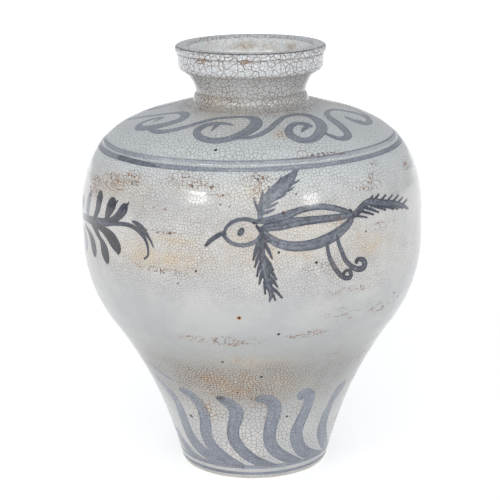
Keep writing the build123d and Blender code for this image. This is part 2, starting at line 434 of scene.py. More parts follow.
columns = 1080
rowStep = 0.85
around = (np.arange(columns) + 0.5) / columns * turn  # from the back, round by the left
front = around - math.pi  # nothing at the front, growing to the right
grooveAt = [float(alongAt(height)) for height, depth, half, tip in thrown["grooves"]]


def throwing(z):
    # radial unevenness in millimetres, slight enough to stay outside the clay
    angle, z = front[None, :], z[:, None]
    uneven = thrown["lift"]
    for depth, count, start, climb in thrown["swells"]:
        uneven = uneven + depth * np.sin(count * angle + start + z / climb)
    wander = thrown["ringWander"] * np.sin(z / thrown["wanderStep"])
    rings = thrown["rings"] * np.sin(turn * z / thrown["ringStep"] + angle + wander)
    return np.clip(z / thrown["calmBelow"], 0, 1) * (uneven + rings)


def grooved(along):
    # depth of the turned lines
    depth = np.zeros((len(along), columns))
    for place, (height, deep, half, tip) in zip(grooveAt, thrown["grooves"]):
        line = place + tip * np.sin(front)[None, :]
        depth += deep * np.clip(1 - ((along[:, None] - line) / half) ** 2, 0, 1)
    return depth


def surface(points, spacing, fineAt=(), carved=False):
    # grid of places in metres, a row for each mark along the profile
    marks, r, z = resample(points, spacing, fineAt)
    slopeR, slopeZ = np.gradient(r, marks), np.gradient(z, marks)
    size = np.hypot(slopeR, slopeZ)
    outR, outZ = slopeZ / size, -slopeR / size
    depth = grooved(marks) if carved else np.zeros((len(marks), columns))
    radius = r[:, None] - outR[:, None] * depth + throwing(z) * abs(outR)[:, None]
    height = z[:, None] - outZ[:, None] * depth
    return marks, np.stack([radius * np.sin(front), -radius * np.cos(front), height], -1) * mm


def normalsOf(place):
    sideways = np.roll(place, -1, 1) - np.roll(place, 1, 1)
    upward = np.gradient(place, axis=0)
    normal = np.cross(sideways, upward)
    return normal / (np.linalg.norm(normal, axis=2, keepdims=True) + 1e-12)


fineRows = [*grooveAt, float(alongAt(vase["height"] - vase["lipOuterEdge"] / 4))]
outerMarks, outerPlace = surface(outer, rowStep, fineRows, carved=True)
outerNormal = normalsOf(outerPlace)
print("outer glaze:", len(outerMarks), "rows of", columns)


# Brushwork: every point of the glaze learns how far it is from the nearest stroke

brush = {"reach": 4.0, "narrow": 0.3, "thinnest": 0.15, "step": 0.5}


class Painter:
    def __init__(self, marks, place):
        self.marks = marks
        self.radius = np.hypot(place[:, 0, 0], place[:, 0, 1]) / mm
        shape = place.shape[:2]
        # millimetres outside the nearest stroke, negative inside it, and outside the next nearest
        self.gap = np.full(shape, brush["reach"])
        self.second = np.full(shape, brush["reach"])
        self.load = np.zeros(shape)  # how much pigment the brush carried
        self.along = np.zeros(shape)
        self.across = np.zeros(shape)

    def keep(self, rows, cols, gap, load, along, across, over=False):
        # the nearest stroke wins, or the newer one where it is laid over
        here = np.ix_(rows, cols)
        old = self.gap[here]
        nearer = (gap < old) | (gap < brush["narrow"]) if over else gap < old
        self.second[here] = np.where(nearer, old, np.minimum(self.second[here], gap))
        self.gap[here] = np.where(nearer, np.minimum(gap, old), old)
        for grid, new in ((self.load, load), (self.along, along), (self.across, across)):
            grid[here] = np.where(nearer, new, grid[here])

    def stroke(self, points, load=1.0, crown=False, endLoad=None, turned=0, over=False):
        # points give angle from the front, height (or radius on the crown) and half width
        angle, place, half = np.array(points, float).T
        along = alongAtRadius(place) if crown else alongAt(place)
        path = smoothCurve(np.column_stack([np.radians(angle + turned), along, half]))
        angle, along, half = path.T
        radius = np.interp(along, self.marks, self.radius)
        steps = np.hypot(np.diff(angle) * (radius[1:] + radius[:-1]) / 2, np.diff(along))
        walked = np.concatenate([[0], np.cumsum(steps)])
        tangent = np.column_stack([np.gradient(angle) * radius, np.gradient(along)])
        tangent /= np.linalg.norm(tangent, axis=1, keepdims=True) + 1e-9
        margin = half.max() + brush["reach"]
        rows = np.flatnonzero((self.marks > along.min() - margin) & (self.marks < along.max() + margin))
        spread = margin / max(radius.min(), 10)
        first = math.floor((angle.min() - spread + math.pi) / turn * columns)
        last = math.ceil((angle.max() + spread + math.pi) / turn * columns)
        cols = np.arange(first, last)
        columnAngle = (cols + 0.5) / columns * turn - math.pi
        girth = (self.radius[rows][:, None, None] + radius) / 2
        sideways = (columnAngle[None, :, None] - angle) * girth
        upward = (self.marks[rows][:, None, None] - along) + 0 * sideways
        edge = np.hypot(sideways, upward) - half
        best = edge.argmin(2)
        grids = (edge, sideways, upward)
        edge, dx, dy = (np.take_along_axis(grid, best[:, :, None], 2)[:, :, 0] for grid in grids)
        tx, ty = tangent[best, 0], tangent[best, 1]
        part = walked[best] / walked[-1]
        carried = load + (0 if endLoad is None else (endLoad - load) * part)
        across = (dx * ty - dy * tx) / np.maximum(half[best], brush["narrow"])
        self.keep(rows, cols % columns, edge, carried, walked[best] + dx * tx + dy * ty, across, over)

    def ring(self, height, half, load, tip=0.0):
        # a line round the whole vase; half and load may be given for each column
        line = alongAt(height + tip * np.sin(front))
        rows = np.flatnonzero(abs(self.marks - line.mean()) < 12)
        off = self.marks[rows][:, None] - line
        half = np.broadcast_to(half, (columns,))
        along = np.broadcast_to(front * self.radius[rows].mean(), off.shape)
        load = np.broadcast_to(load, off.shape)
        across = off / np.maximum(half, brush["narrow"])
        self.keep(rows, np.arange(columns), abs(off) - half, load, along, across)


def smoothCurve(points):
    # Catmull-Rom curve through the listed points, with samples close enough to brush along
    usualRadius = 120
    points = np.vstack([2 * points[0] - points[1], points, 2 * points[-1] - points[-2]])
    pieces = []
    for a, b, c, d in zip(points, points[1:], points[2:], points[3:]):
        count = max(3, int(np.hypot((c - b)[0] * usualRadius, (c - b)[1]) / brush["step"]))
        t = np.linspace(0, 1, count, endpoint=False)[:, None]
        square, cube = 2 * a - 5 * b + 4 * c - d, 3 * b - a - 3 * c + d
        pieces.append((2 * b + (c - a) * t + square * t ** 2 + cube * t ** 3) / 2)
    path = np.vstack([*pieces, points[-2:-1]])
    path[:, 2] = np.maximum(path[:, 2], brush["thinnest"])
    return path


painter = Painter(outerMarks, outerPlace)
rng = np.random.default_rng(7)


def wavy(low, high, *beats):
    # a value that wanders round the vase between low and high
    wave = sum(np.sin(beat * front + beat * beat) for beat in beats) / len(beats)
    return low + (high - low) * (wave + 1) / 2


def roundVase(stops):
    # a value given at a few angles, eased between them all the way round
    angles, values = zip(*stops)
    return np.interp(np.degrees(front), angles, values, period=360)


# Rings round the shoulder and the foot

rings = {
    # height, half width, how far the line tips from side to side, and pigment at a few angles
    "lines": [
        (280.5, 1.4, 1.1, [
            (-150, 0.3), (-85, 0.52), (-55, 0.42), (-34, 0.18), (0, 0.22), (25, 0.26), (60, 0.18),
            (120, 0.4), (170, 0.35),
        ]),
        (281.9, 0.3, 1.1, [
            (-150, 0.3), (-60, 0.2), (-20, 0.35), (15, 0.6), (65, 0.75), (100, 0.4), (170, 0.5),
        ]),
        (276.3, 1.9, 1.1, [
            (-150, 0.5), (-80, 0.62), (-58, 0.62), (-34, 0.42), (-5, 0.34), (30, 0.44), (62, 0.64),
            (110, 0.5), (160, 0.6),
        ]),
        (5.3, 1.1, 0, [(-150, 0.4), (-50, 0.6), (0, 0.5), (50, 0.55), (120, 0.4)]),
        (11.8, 1.6, 0, [(-150, 0.3), (-50, 0.5), (0, 0.4), (50, 0.5), (120, 0.35)]),
    ],
    # where the lower ring was started and overlaps itself
    "overlap": [
        (-57.6, 275.8, 1.5), (-54, 275.7, 2), (-48, 275.5, 2), (-42, 275.2, 1.7), (-38, 275, 1.1),
        (-34.6, 274.9, 0.2),
    ],
    "overlapInk": 0.72,
    "thinnest": 0.75, "thickest": 1.15, "palest": 0.8, "darkest": 1.15,
}


def paintRings():
    widths = wavy(rings["thinnest"], rings["thickest"], 2, 5, 9)
    inks = wavy(rings["palest"], rings["darkest"], 3, 7, 12)
    for height, half, tip, stops in rings["lines"]:
        painter.ring(height, half * widths, roundVase(stops) * inks, tip)
    painter.stroke(rings["overlap"], rings["overlapInk"], over=True)


# Running scrolls on the crown: angle, radius, half width

scrolls = {
    "left": [
        (-94, 103, 1.4), (-89.6, 99.4, 2), (-82.9, 91.1, 2.2), (-77.4, 83.8, 2.1), (-70.5, 74.9, 1.8),
        (-64.6, 68.6, 1.9), (-59.4, 65.4, 2.5), (-53.7, 65.8, 3.3), (-49.2, 70, 3.9), (-48.6, 76.5, 4.3),
        (-50.8, 83.4, 4.5), (-53.3, 88.9, 4.5), (-57, 93.2, 4.3), (-61, 96.9, 4.1), (-65, 98.6, 3.3),
        (-68.6, 96.8, 2.7), (-70, 92.5, 2.5), (-69.2, 87, 2.3), (-67.2, 82, 2.1), (-63.7, 78.2, 1.2),
    ],
    "leftProng": [(-63.9, 87.6, 0.4), (-63.6, 84.3, 1.3), (-63.6, 80.9, 1.8)],
    "link": [
        (-56, 97.2, 0.8), (-52, 97.2, 2.4), (-48, 96.4, 3), (-43.7, 93.3, 3), (-40.5, 89.3, 2.9),
        (-36.8, 83.6, 2.7), (-33.4, 76.9, 2.4), (-28.4, 69.7, 2.1), (-24.1, 65.9, 1.9),
        (-19.5, 64.2, 1.7), (-15, 63, 1.6), (-10.4, 61.9, 1.5), (-5.5, 61.6, 1.7), (-0.8, 62.6, 2.7),
        (2.6, 66, 3.9), (3.2, 71.5, 4.7), (1.6, 78, 5.1), (-1, 84.2, 4.9), (-4, 89.4, 4.5),
        (-6.9, 93.4, 4.1), (-9.8, 96.5, 3.8), (-13, 98.7, 3.6), (-16.7, 99.9, 3.5), (-20.8, 99, 3.3),
        (-24.9, 96, 3.1), (-27.9, 90.7, 2.9), (-28.5, 84.6, 3.3), (-27, 79, 3.5), (-23.6, 75.6, 3.1),
        (-19.5, 74.1, 2.7), (-15.2, 74.1, 2), (-10.9, 76.2, 0.6),
    ],
    "linkProng": [(-21, 87, 0.3), (-20.6, 80.8, 1.4), (-20.2, 76.7, 1.9)],
    "middle": [
        (-7.8, 95.6, 0.9), (-4.1, 95.4, 1.9), (-0.1, 94.6, 2.2), (3.8, 91.5, 2.3), (7.5, 86.6, 2.3),
        (11.9, 79.2, 2.3), (16.8, 71.6, 2.1), (23.2, 65, 1.9), (30.5, 62.4, 1.8), (37.6, 63.4, 2.1),
        (42.4, 67.4, 3.2), (43.2, 74, 4.1), (41.4, 82, 4.5), (37.7, 89.8, 4.3), (33, 96.2, 3.9),
        (28.5, 100.8, 3.6), (24.6, 102.2, 3.5), (21.3, 100.4, 3.7), (19.1, 95.8, 3.7), (18.8, 89.6, 3.2),
        (20.9, 83.2, 2.6), (24.7, 78.4, 2.5), (29, 77.6, 2.9), (32.2, 80.2, 3.3), (32.9, 83.6, 2.5),
    ],
    "middleProng": [(25.1, 91.4, 0.3), (27.5, 87.8, 1.5), (30.1, 85.2, 2.2)],
    "right": [
        (36.6, 96.4, 1.3), (37.8, 100.4, 2.2), (39.8, 104.2, 2.5), (42.4, 105.6, 2.6), (45.2, 105, 2.7),
        (47.5, 102.2, 3.1), (48.9, 97.6, 3.7), (50.2, 92, 3.9), (51.7, 85.7, 3.9), (53.8, 78.6, 3.5),
        (57.4, 72.2, 2.5), (63.4, 68.6, 1.6), (70.5, 68.6, 1.4), (76.5, 72, 2.1), (79.4, 77.5, 2.9),
        (81.6, 84, 3.7), (82.6, 90.5, 4.3), (80.4, 95.6, 3.7), (75.6, 98.6, 2.5), (70.2, 98.6, 2.4),
        (66.6, 95.8, 2.8), (65.3, 91, 3.1), (65.6, 86.6, 3.1), (66, 83.8, 1.9),
    ],
    "rightProng": [(67, 89.8, 0.6), (68.1, 91.5, 1.3), (69.7, 94, 1.9)],
    "ink": {
        "left": 0.5, "leftProng": 0.5, "link": 0.52, "linkProng": 0.6,
        "middle": 0.54, "middleProng": 0.6, "right": 0.6, "rightProng": 0.5,
    },
    # the middle scroll again, turned by these angles, each a little different
    "behind": (85.5, 131, 176.5, 221), "sway": 2.5, "swell": 0.1,
}


def paintScrolls():
    for name, ink in scrolls["ink"].items():
        painter.stroke(scrolls[name], ink, crown=True)
    for turned in scrolls["behind"]:
        lean = rng.uniform(-scrolls["sway"], scrolls["sway"])
        wide = rng.uniform(1 - scrolls["swell"], 1 + scrolls["swell"])
        for name in ("middle", "middleProng"):
            points = [(angle, radius + lean, half * wide) for angle, radius, half in scrolls[name]]
            painter.stroke(points, scrolls["ink"][name] * wide, crown=True, turned=turned)


# Long curved strokes rising from the foot: angle, height, half width

lappets = {
    "front": [
        [(-17.4, 79.8, 3.2), (-15.9, 78.6, 4.2), (-13.4, 76.2, 5), (-11, 72, 5.7), (-9.9, 66.2, 5.7),
         (-11.3, 58, 5.2), (-13.1, 49.7, 4.9), (-13.6, 42.6, 5), (-11.9, 34.8, 5.3), (-7.6, 27.1, 5.1),
         (-1.4, 20.5, 4.5), (6.6, 15.4, 3.3), (14.8, 12.7, 1.8)],
        [(3.2, 80.8, 4), (4.8, 81, 4.7), (7.4, 79.6, 5.2), (9.9, 76, 5.4), (11.1, 70.7, 5.4),
         (10.9, 62.4, 5.4), (9.9, 54.2, 5.3), (9.5, 46.1, 5.2), (10, 38.1, 5.1), (12.3, 30.7, 5.1),
         (17.8, 23.4, 4.9), (25.4, 17.6, 3.9), (34.4, 13.1, 2.2)],
        [(25.4, 79.6, 3.6), (25.4, 81.6, 4.3), (27, 82.8, 4.7), (29, 80.8, 4.9), (30.8, 76.3, 4.7),
         (30.8, 67.1, 4.9), (29.6, 57.2, 5.2), (27.9, 47.7, 5.6), (27.9, 39.8, 5.6), (31, 30, 5.6),
         (36.6, 21.7, 5.1), (46, 15.6, 4.1), (58, 12.6, 2.3)],
        [(55, 79, 3.4), (54.6, 77.8, 5), (53.6, 75.2, 6.6), (52.4, 71.4, 6), (51.2, 67.4, 4.4),
         (50.4, 62, 4), (49.8, 56, 4.6), (49.6, 47, 5.4), (51, 37, 5.9), (55.4, 28, 5.7), (62, 19, 4.8),
         (73, 12.8, 2.6)],
        [(-40, 81.6, 3), (-37.4, 80.8, 3.9), (-34.6, 78.4, 4.8), (-32.3, 73.8, 5.2), (-30.7, 67.3, 5.3),
         (-30.5, 59.1, 5.2), (-31.3, 50.8, 5.2), (-32.8, 42.3, 5.4), (-32.3, 34.6, 5.7),
         (-29.1, 27.5, 5.8), (-23.3, 21.1, 5.3), (-16.2, 15.8, 4.3), (-8.8, 12.8, 2.6)],
        [(-68, 98, 0.8), (-63.6, 91, 2), (-59.8, 85.3, 3.1), (-56.1, 79.8, 4), (-52.3, 74.4, 4.5),
         (-49.9, 67.8, 4.9), (-49.4, 58.9, 5.2), (-49.7, 50, 5.6), (-49.8, 41.2, 6.1), (-48.3, 33.1, 6.4),
         (-44.3, 25.9, 6.2), (-37, 20.2, 5.3), (-28.8, 16.5, 4.1), (-20.9, 14.4, 2)],
        [(-66, 32, 2), (-61, 22.6, 3.6), (-56.4, 17.6, 4.2), (-49.7, 14.3, 3.3), (-40.1, 12.6, 1.7)],
    ],
    "ink": (0.62, 0.58, 0.56, 0.56, 0.54, 0.52, 0.45),
    "wisp": [(-61, 108, 0.5), (-57.5, 100.5, 1.3), (-50, 93.6, 1.6), (-43.6, 90.2, 0.5)],
    # the first ones again round the sides and the back, each a little different
    "from": 74.5, "to": 286, "count": 10, "again": (0, 1, 2, 1), "lift": 3, "wide": (0.85, 1.08),
    "footPoint": 5, "usualHeight": 80, "wispInk": 0.6,
}


def paintLappets():
    for points, ink in zip(lappets["front"], lappets["ink"]):
        painter.stroke(points, ink)
    painter.stroke(lappets["wisp"], lappets["wispInk"])
    for number, angle in enumerate(np.linspace(lappets["from"], lappets["to"], lappets["count"])):
        points = lappets["front"][lappets["again"][number % len(lappets["again"])]]
        turned = angle - points[lappets["footPoint"]][0]
        lift = rng.uniform(-lappets["lift"], lappets["lift"]) / lappets["usualHeight"]
        wide = rng.uniform(*lappets["wide"])
        moved = [(angle + turned, height + lift * height, half * wide) for angle, height, half in points]
        painter.stroke(moved, lappets["ink"][number % 6] * rng.uniform(0.9, 1.1))


# The bird in flight: angle, height, half width

bird = {
    # each with the ink it starts and ends with
    "lines": [
        # beak, both halves of the head, eye
        ([(-14.2, 221.8, 0.9), (-13.4, 224.2, 1.4), (-11.8, 227.4, 1.5), (-10.1, 230, 1.5),
          (-8.6, 232.2, 1.2)], 1.2, 1),
        ([(-14.5, 221.1, 0.8), (-13.9, 222.6, 0.8)], 2.4, 2.4),
        ([(-11.2, 229, 0.6), (-9.8, 230.4, 1), (-8.4, 230.6, 0.9)], 0.95, 0.95),
        ([(-8.7, 232, 1), (-7.9, 236, 1.1), (-6.2, 239.6, 1.2), (-3.7, 241.6, 1.2), (-1.2, 241.5, 1.3),
          (1.6, 239.6, 1.3)], 0.95, 0.8),
        ([(-9.2, 230.6, 0.9), (-8.3, 227.6, 1.2), (-6.6, 224, 1.3), (-4.1, 222.2, 1.4),
          (-1.4, 222.6, 1.4), (1.2, 225.6, 1.4), (2.6, 229.6, 1.5), (3, 233.4, 1.5)], 0.85, 0.85),
        ([(-3.2, 234, 1.4), (-3.5, 232.4, 2.1), (-3.9, 231, 1.6)], 1.15, 1.3),
        # the body in three long strokes, and the dark brush marks where they meet
        ([(1.2, 240, 1.2), (4.2, 240.4, 2.4), (7.4, 241.4, 3.2), (10.6, 243.6, 3), (14.6, 246.6, 2.3),
          (19.2, 248.2, 2.2), (23.8, 247.5, 2.2), (28.3, 244.6, 2), (31.8, 241.4, 1.6),
          (33.6, 239.8, 1)], 0.82, 0.85),
        ([(3.2, 234.6, 1.8), (5, 235.8, 3.2), (8.6, 236.9, 3.9), (12.6, 238.1, 3.5), (17.4, 238.7, 2.9),
          (22.9, 238.8, 2.7), (28.7, 238.7, 2.3), (33.4, 238.9, 1.4)], 0.9, 0.85),
        ([(2.4, 234.6, 1.4), (4.2, 229.4, 2.4), (7.4, 223.6, 3.1), (11.4, 220.4, 3.5), (15.6, 219.6, 3.8),
          (20, 220.6, 4.2), (24.5, 223.6, 4.4), (28.5, 228.3, 3.8), (31.8, 233.6, 2.7),
          (32.8, 237.8, 1.6)], 0.88, 0.95),
        ([(0, 239.3, 0.4), (1.2, 239.1, 0.9), (2.3, 241.6, 0.9)], 1.4, 1.1),
        ([(1.2, 236.8, 0.6), (2.2, 233.4, 1.1), (3.5, 228.9, 1.3), (4.7, 224.9, 0.9)], 1.25, 0.95),
        ([(32.9, 240.9, 1.1), (32.5, 242.6, 0.8)], 1.5, 1.7),
        # legs with their curled feet
        ([(23.6, 220.2, 1.1), (23.9, 213.9, 1.3), (24.6, 207.7, 1.4), (26, 201.1, 1.6),
          (27.8, 194.8, 1.7), (29.9, 190.7, 1.7), (31.7, 189.8, 1.7), (32.4, 192, 1.6),
          (31.7, 195.3, 1.2), (30.5, 196.2, 0.9), (29.8, 195, 0.8)], 0.95, 1.4),
        ([(30, 195.4, 1), (29.6, 193.8, 1.2), (29.5, 192.8, 0.9)], 2.3, 2.3),
        ([(27.1, 224.3, 1.1), (27.7, 218.5, 1.4), (28.8, 211.9, 1.5), (30, 205.5, 1.6), (32, 199.7, 1.7),
          (34.6, 195.7, 2), (36.9, 195.4, 2.3), (37.8, 197.9, 2.5), (37.3, 201.4, 2), (35.8, 203.2, 1.5),
          (34.9, 202.7, 1.2)], 0.95, 1.4),
        ([(35.2, 203.6, 1), (34.5, 202.2, 1.5), (34.6, 200.9, 1)], 2.3, 2.3),
    ],
    # wings and tail: the stem, its ink, and barbs as root angle and height, tip angle and height, half width
    "feathers": [
        ([(2.4, 242, 1.5), (2.7, 249, 2.5), (4.2, 254.5, 3.8), (6.6, 259, 4.6), (9.2, 263.4, 4.8),
          (11.6, 267.4, 4.5), (13.6, 270.9, 2.9), (15.2, 273.8, 1.3), (16.7, 276.6, 0.2)], 0.72,
         [(1.8, 247.5, 0.5, 257, 0.7), (2.6, 249, 3.4, 262.2, 1.4), (4.9, 257, 5.6, 264.8, 0.9),
          (6.5, 261, 9.9, 270.8, 1.4), (9.8, 266.5, 12.5, 272.2, 1.1), (2.9, 245.4, 7, 248.7, 1),
          (4.6, 249.5, 8.1, 253.3, 0.7), (7.6, 255.7, 10.9, 259.2, 0.7), (10.5, 260.2, 13.8, 263.4, 0.6),
          (12.6, 265, 15.9, 268, 0.6)]),
        ([(2.9, 231, 1.6), (2.8, 219.7, 1.8), (3.1, 210.2, 2.3), (3.9, 200.8, 2.6), (4.8, 191.2, 2.4),
          (5.5, 184, 1.6), (5.1, 176.8, 0.2)], 1,
         [(2.2, 226, 0.1, 210.6, 1.5), (2.5, 217.8, 0.6, 205, 1.1), (2.5, 209.3, 1.2, 197.8, 1),
          (2.9, 201.8, 1.9, 191.6, 1), (3.5, 193.2, 3.7, 183.6, 0.9), (3.6, 223.4, 5.9, 211.4, 1.1),
          (3.6, 212.9, 6.2, 202.2, 1.1), (4.2, 205.6, 7.2, 194.8, 1.1), (4.7, 197.9, 7.5, 189, 1.1),
          (5.4, 189.4, 9, 179.8, 1), (5.4, 186.4, 6.9, 178, 0.8)]),
        ([(33, 237.9, 1.8), (34.4, 239.2, 2.4), (36.2, 241.6, 2.6), (38.1, 244.6, 2.4), (40.1, 246, 2.4),
          (42.2, 245.4, 2.8), (44.9, 243.4, 3.1), (48.4, 241.4, 3.1), (52.2, 239.3, 2.9),
          (55.9, 236.8, 2.3), (59.7, 234.2, 1)], 1,
         [(40.7, 247.2, 42.7, 249.9, 0.7), (42.4, 246.4, 45.6, 249.8, 0.8), (45.3, 244.6, 49, 248, 0.7),
          (48.4, 243, 52.6, 246.3, 0.7), (51.9, 241.6, 56, 244.5, 0.7), (55.3, 239.6, 58.6, 241.7, 0.6),
          (58.3, 237, 61.5, 238.6, 0.6), (34.6, 237.5, 38.9, 234.8, 0.6), (36.3, 240.5, 41.8, 235.9, 0.8),
          (38.3, 242.7, 44.2, 236.7, 0.9), (41.1, 243.4, 47.7, 236.9, 0.9), (44.1, 242.5, 52, 235.5, 0.8),
          (47.9, 240.9, 54.4, 234.5, 0.7), (51.2, 239.5, 57.7, 233.5, 0.7),
          (54.9, 237.8, 60.7, 231.6, 0.6), (58.3, 235.6, 61.8, 231.3, 0.6)]),
    ],
    # how far along a barb bends, in angle and in height
    "barbTip": 0.3, "barbEndInk": 1.15, "barbBelly": (0.55, 0.5),
    # a well loaded brush leaves a bead of ink at the tip of each barb
    "beadFrom": 0.8, "beadLength": (0.08, 0.08), "beadInk": 2, "bead": (0.5, 0.4),
}


def between(start, end, parts):
    return tuple(a + (b - a) * part for a, b, part in zip(start, end, parts))


def paintFeather(stem, ink, barbs, turned):
    painter.stroke(stem, ink, turned=turned)
    for rootAngle, rootHeight, tipAngle, tipHeight, half in barbs:
        root, tip = (rootAngle, rootHeight), (tipAngle, tipHeight)
        points = [(*root, half), (*between(root, tip, bird["barbBelly"]), half), (*tip, bird["barbTip"])]
        painter.stroke(points, ink, endLoad=ink * bird["barbEndInk"], turned=turned)
        if ink > bird["beadFrom"]:
            near, far = bird["bead"]
            bead = [(*between(tip, root, bird["beadLength"]), near), (*tip, far)]
            painter.stroke(bead, bird["beadInk"], turned=turned)


def paintBird(turned=0):
    for stem, ink, barbs in bird["feathers"]:
        paintFeather(stem, ink, barbs, turned)
    for points, ink, endInk in bird["lines"]:
        painter.stroke(points, ink, endLoad=endInk, turned=turned)


# The leafy spray: angle, height, half width

spray = {
    "lines": [
        ([(-97, 213, 0.8), (-88, 216, 1.8), (-79.6, 218.7, 2.2), (-69.9, 221.5, 2.8), (-64.5, 222.4, 3.4),
          (-59.9, 223.8, 3.5), (-55.8, 225.7, 3.1), (-53, 226.9, 2.6), (-50.4, 227.6, 1.8),
          (-47.2, 228.5, 1.4), (-44.3, 229.3, 1.4), (-41.4, 229, 1.4), (-39, 227.2, 1.5), (-37, 224, 1.4),
          (-35.6, 220.2, 1.2), (-34.8, 215.6, 0.9), (-34.6, 211.2, 0.7), (-34.9, 207.7, 0.5),
          (-36.2, 205.1, 0.6)], 1.2),
        ([(-41, 232.8, 0.6), (-39.6, 232.2, 1.3), (-37.7, 230.2, 1.8), (-35.8, 226.7, 1.8),
          (-34.5, 223.1, 1.1), (-33.4, 219.6, 0.7), (-32.6, 215.4, 0.3)], 1.1),
        ([(-69.7, 224.4, 2.4), (-69.6, 228.6, 3.8), (-69.4, 234.1, 4.4), (-68.5, 239.6, 3.6),
          (-68, 244.9, 1.5)], 0.78),
        ([(-63, 225.4, 1.8), (-61.4, 230.3, 2.9), (-60.3, 236.3, 4), (-60.1, 240.6, 4.6),
          (-60, 243.6, 4.7), (-60, 245, 4)], 1.7),
        ([(-54.4, 229, 2.2), (-53.6, 234, 3.5), (-52.6, 238.6, 4.9), (-51.9, 241.6, 5.2),
          (-51.6, 243, 4.4)], 1.55),
        ([(-52, 229, 1.9), (-49.3, 232, 2.8), (-47.2, 235.8, 3.6), (-46, 239, 4.1), (-45.4, 241, 3.9),
          (-45.1, 242.2, 3)], 1.4),
        ([(-77, 211, 2.2), (-73.8, 204.6, 3.8), (-73, 199, 4.4), (-73.2, 193.4, 1.3)], 0.72),
        ([(-73, 214, 1.6), (-68.8, 210.7, 2.4), (-66, 206.6, 4), (-64.6, 202, 5.2), (-64, 197.8, 4.2),
          (-63.6, 194.3, 0.9)], 1.7),
        ([(-65.2, 220.4, 2.2), (-62.2, 217.2, 3), (-60.2, 213.6, 2.7), (-58.7, 210.9, 2.1),
          (-57, 206.6, 4), (-55.9, 201.8, 5.6), (-55, 197.2, 4), (-54.3, 193.8, 1)], 1.8),
        ([(-59.9, 221.4, 2.8), (-56.3, 219.3, 3), (-53.3, 217, 4.4), (-50.9, 213.8, 5.7), (-49, 210.2, 5),
          (-48.2, 207.4, 3.2), (-48.2, 204.3, 0.8)], 2.1),
        ([(-50.6, 242.4, 1.1), (-48.9, 245.9, 0.3)], 1.3),
        ([(-45, 241.6, 1.4), (-43.5, 246.6, 0.3)], 1.2),
    ],
    "more": [
        # the same leaves further back along the stem: which, angle moved, height moved, size
        (3, -22, -7, 0.9), (4, -25, -9, 0.85), (7, -20, -7, 0.9), (8, -27, -9, 0.85),
    ],
    "moreInk": 0.9,
}


def paintSpray(turned=0):
    for points, ink in spray["lines"]:
        painter.stroke(points, ink, turned=turned)
    for number, sideways, upward, size in spray["more"]:
        points, ink = spray["lines"][number]
        moved = [(angle + sideways, height + upward, half * size) for angle, height, half in points]
        painter.stroke(moved, ink * spray["moreInk"], turned=turned)


paintRings()
paintScrolls()
paintLappets()
paintBird()
paintSpray()
# both again on the back
paintBird(turned=178)
paintSpray(turned=187)
print("brushwork painted")


# Marks of age: where they lie on the outside and inside the mouth

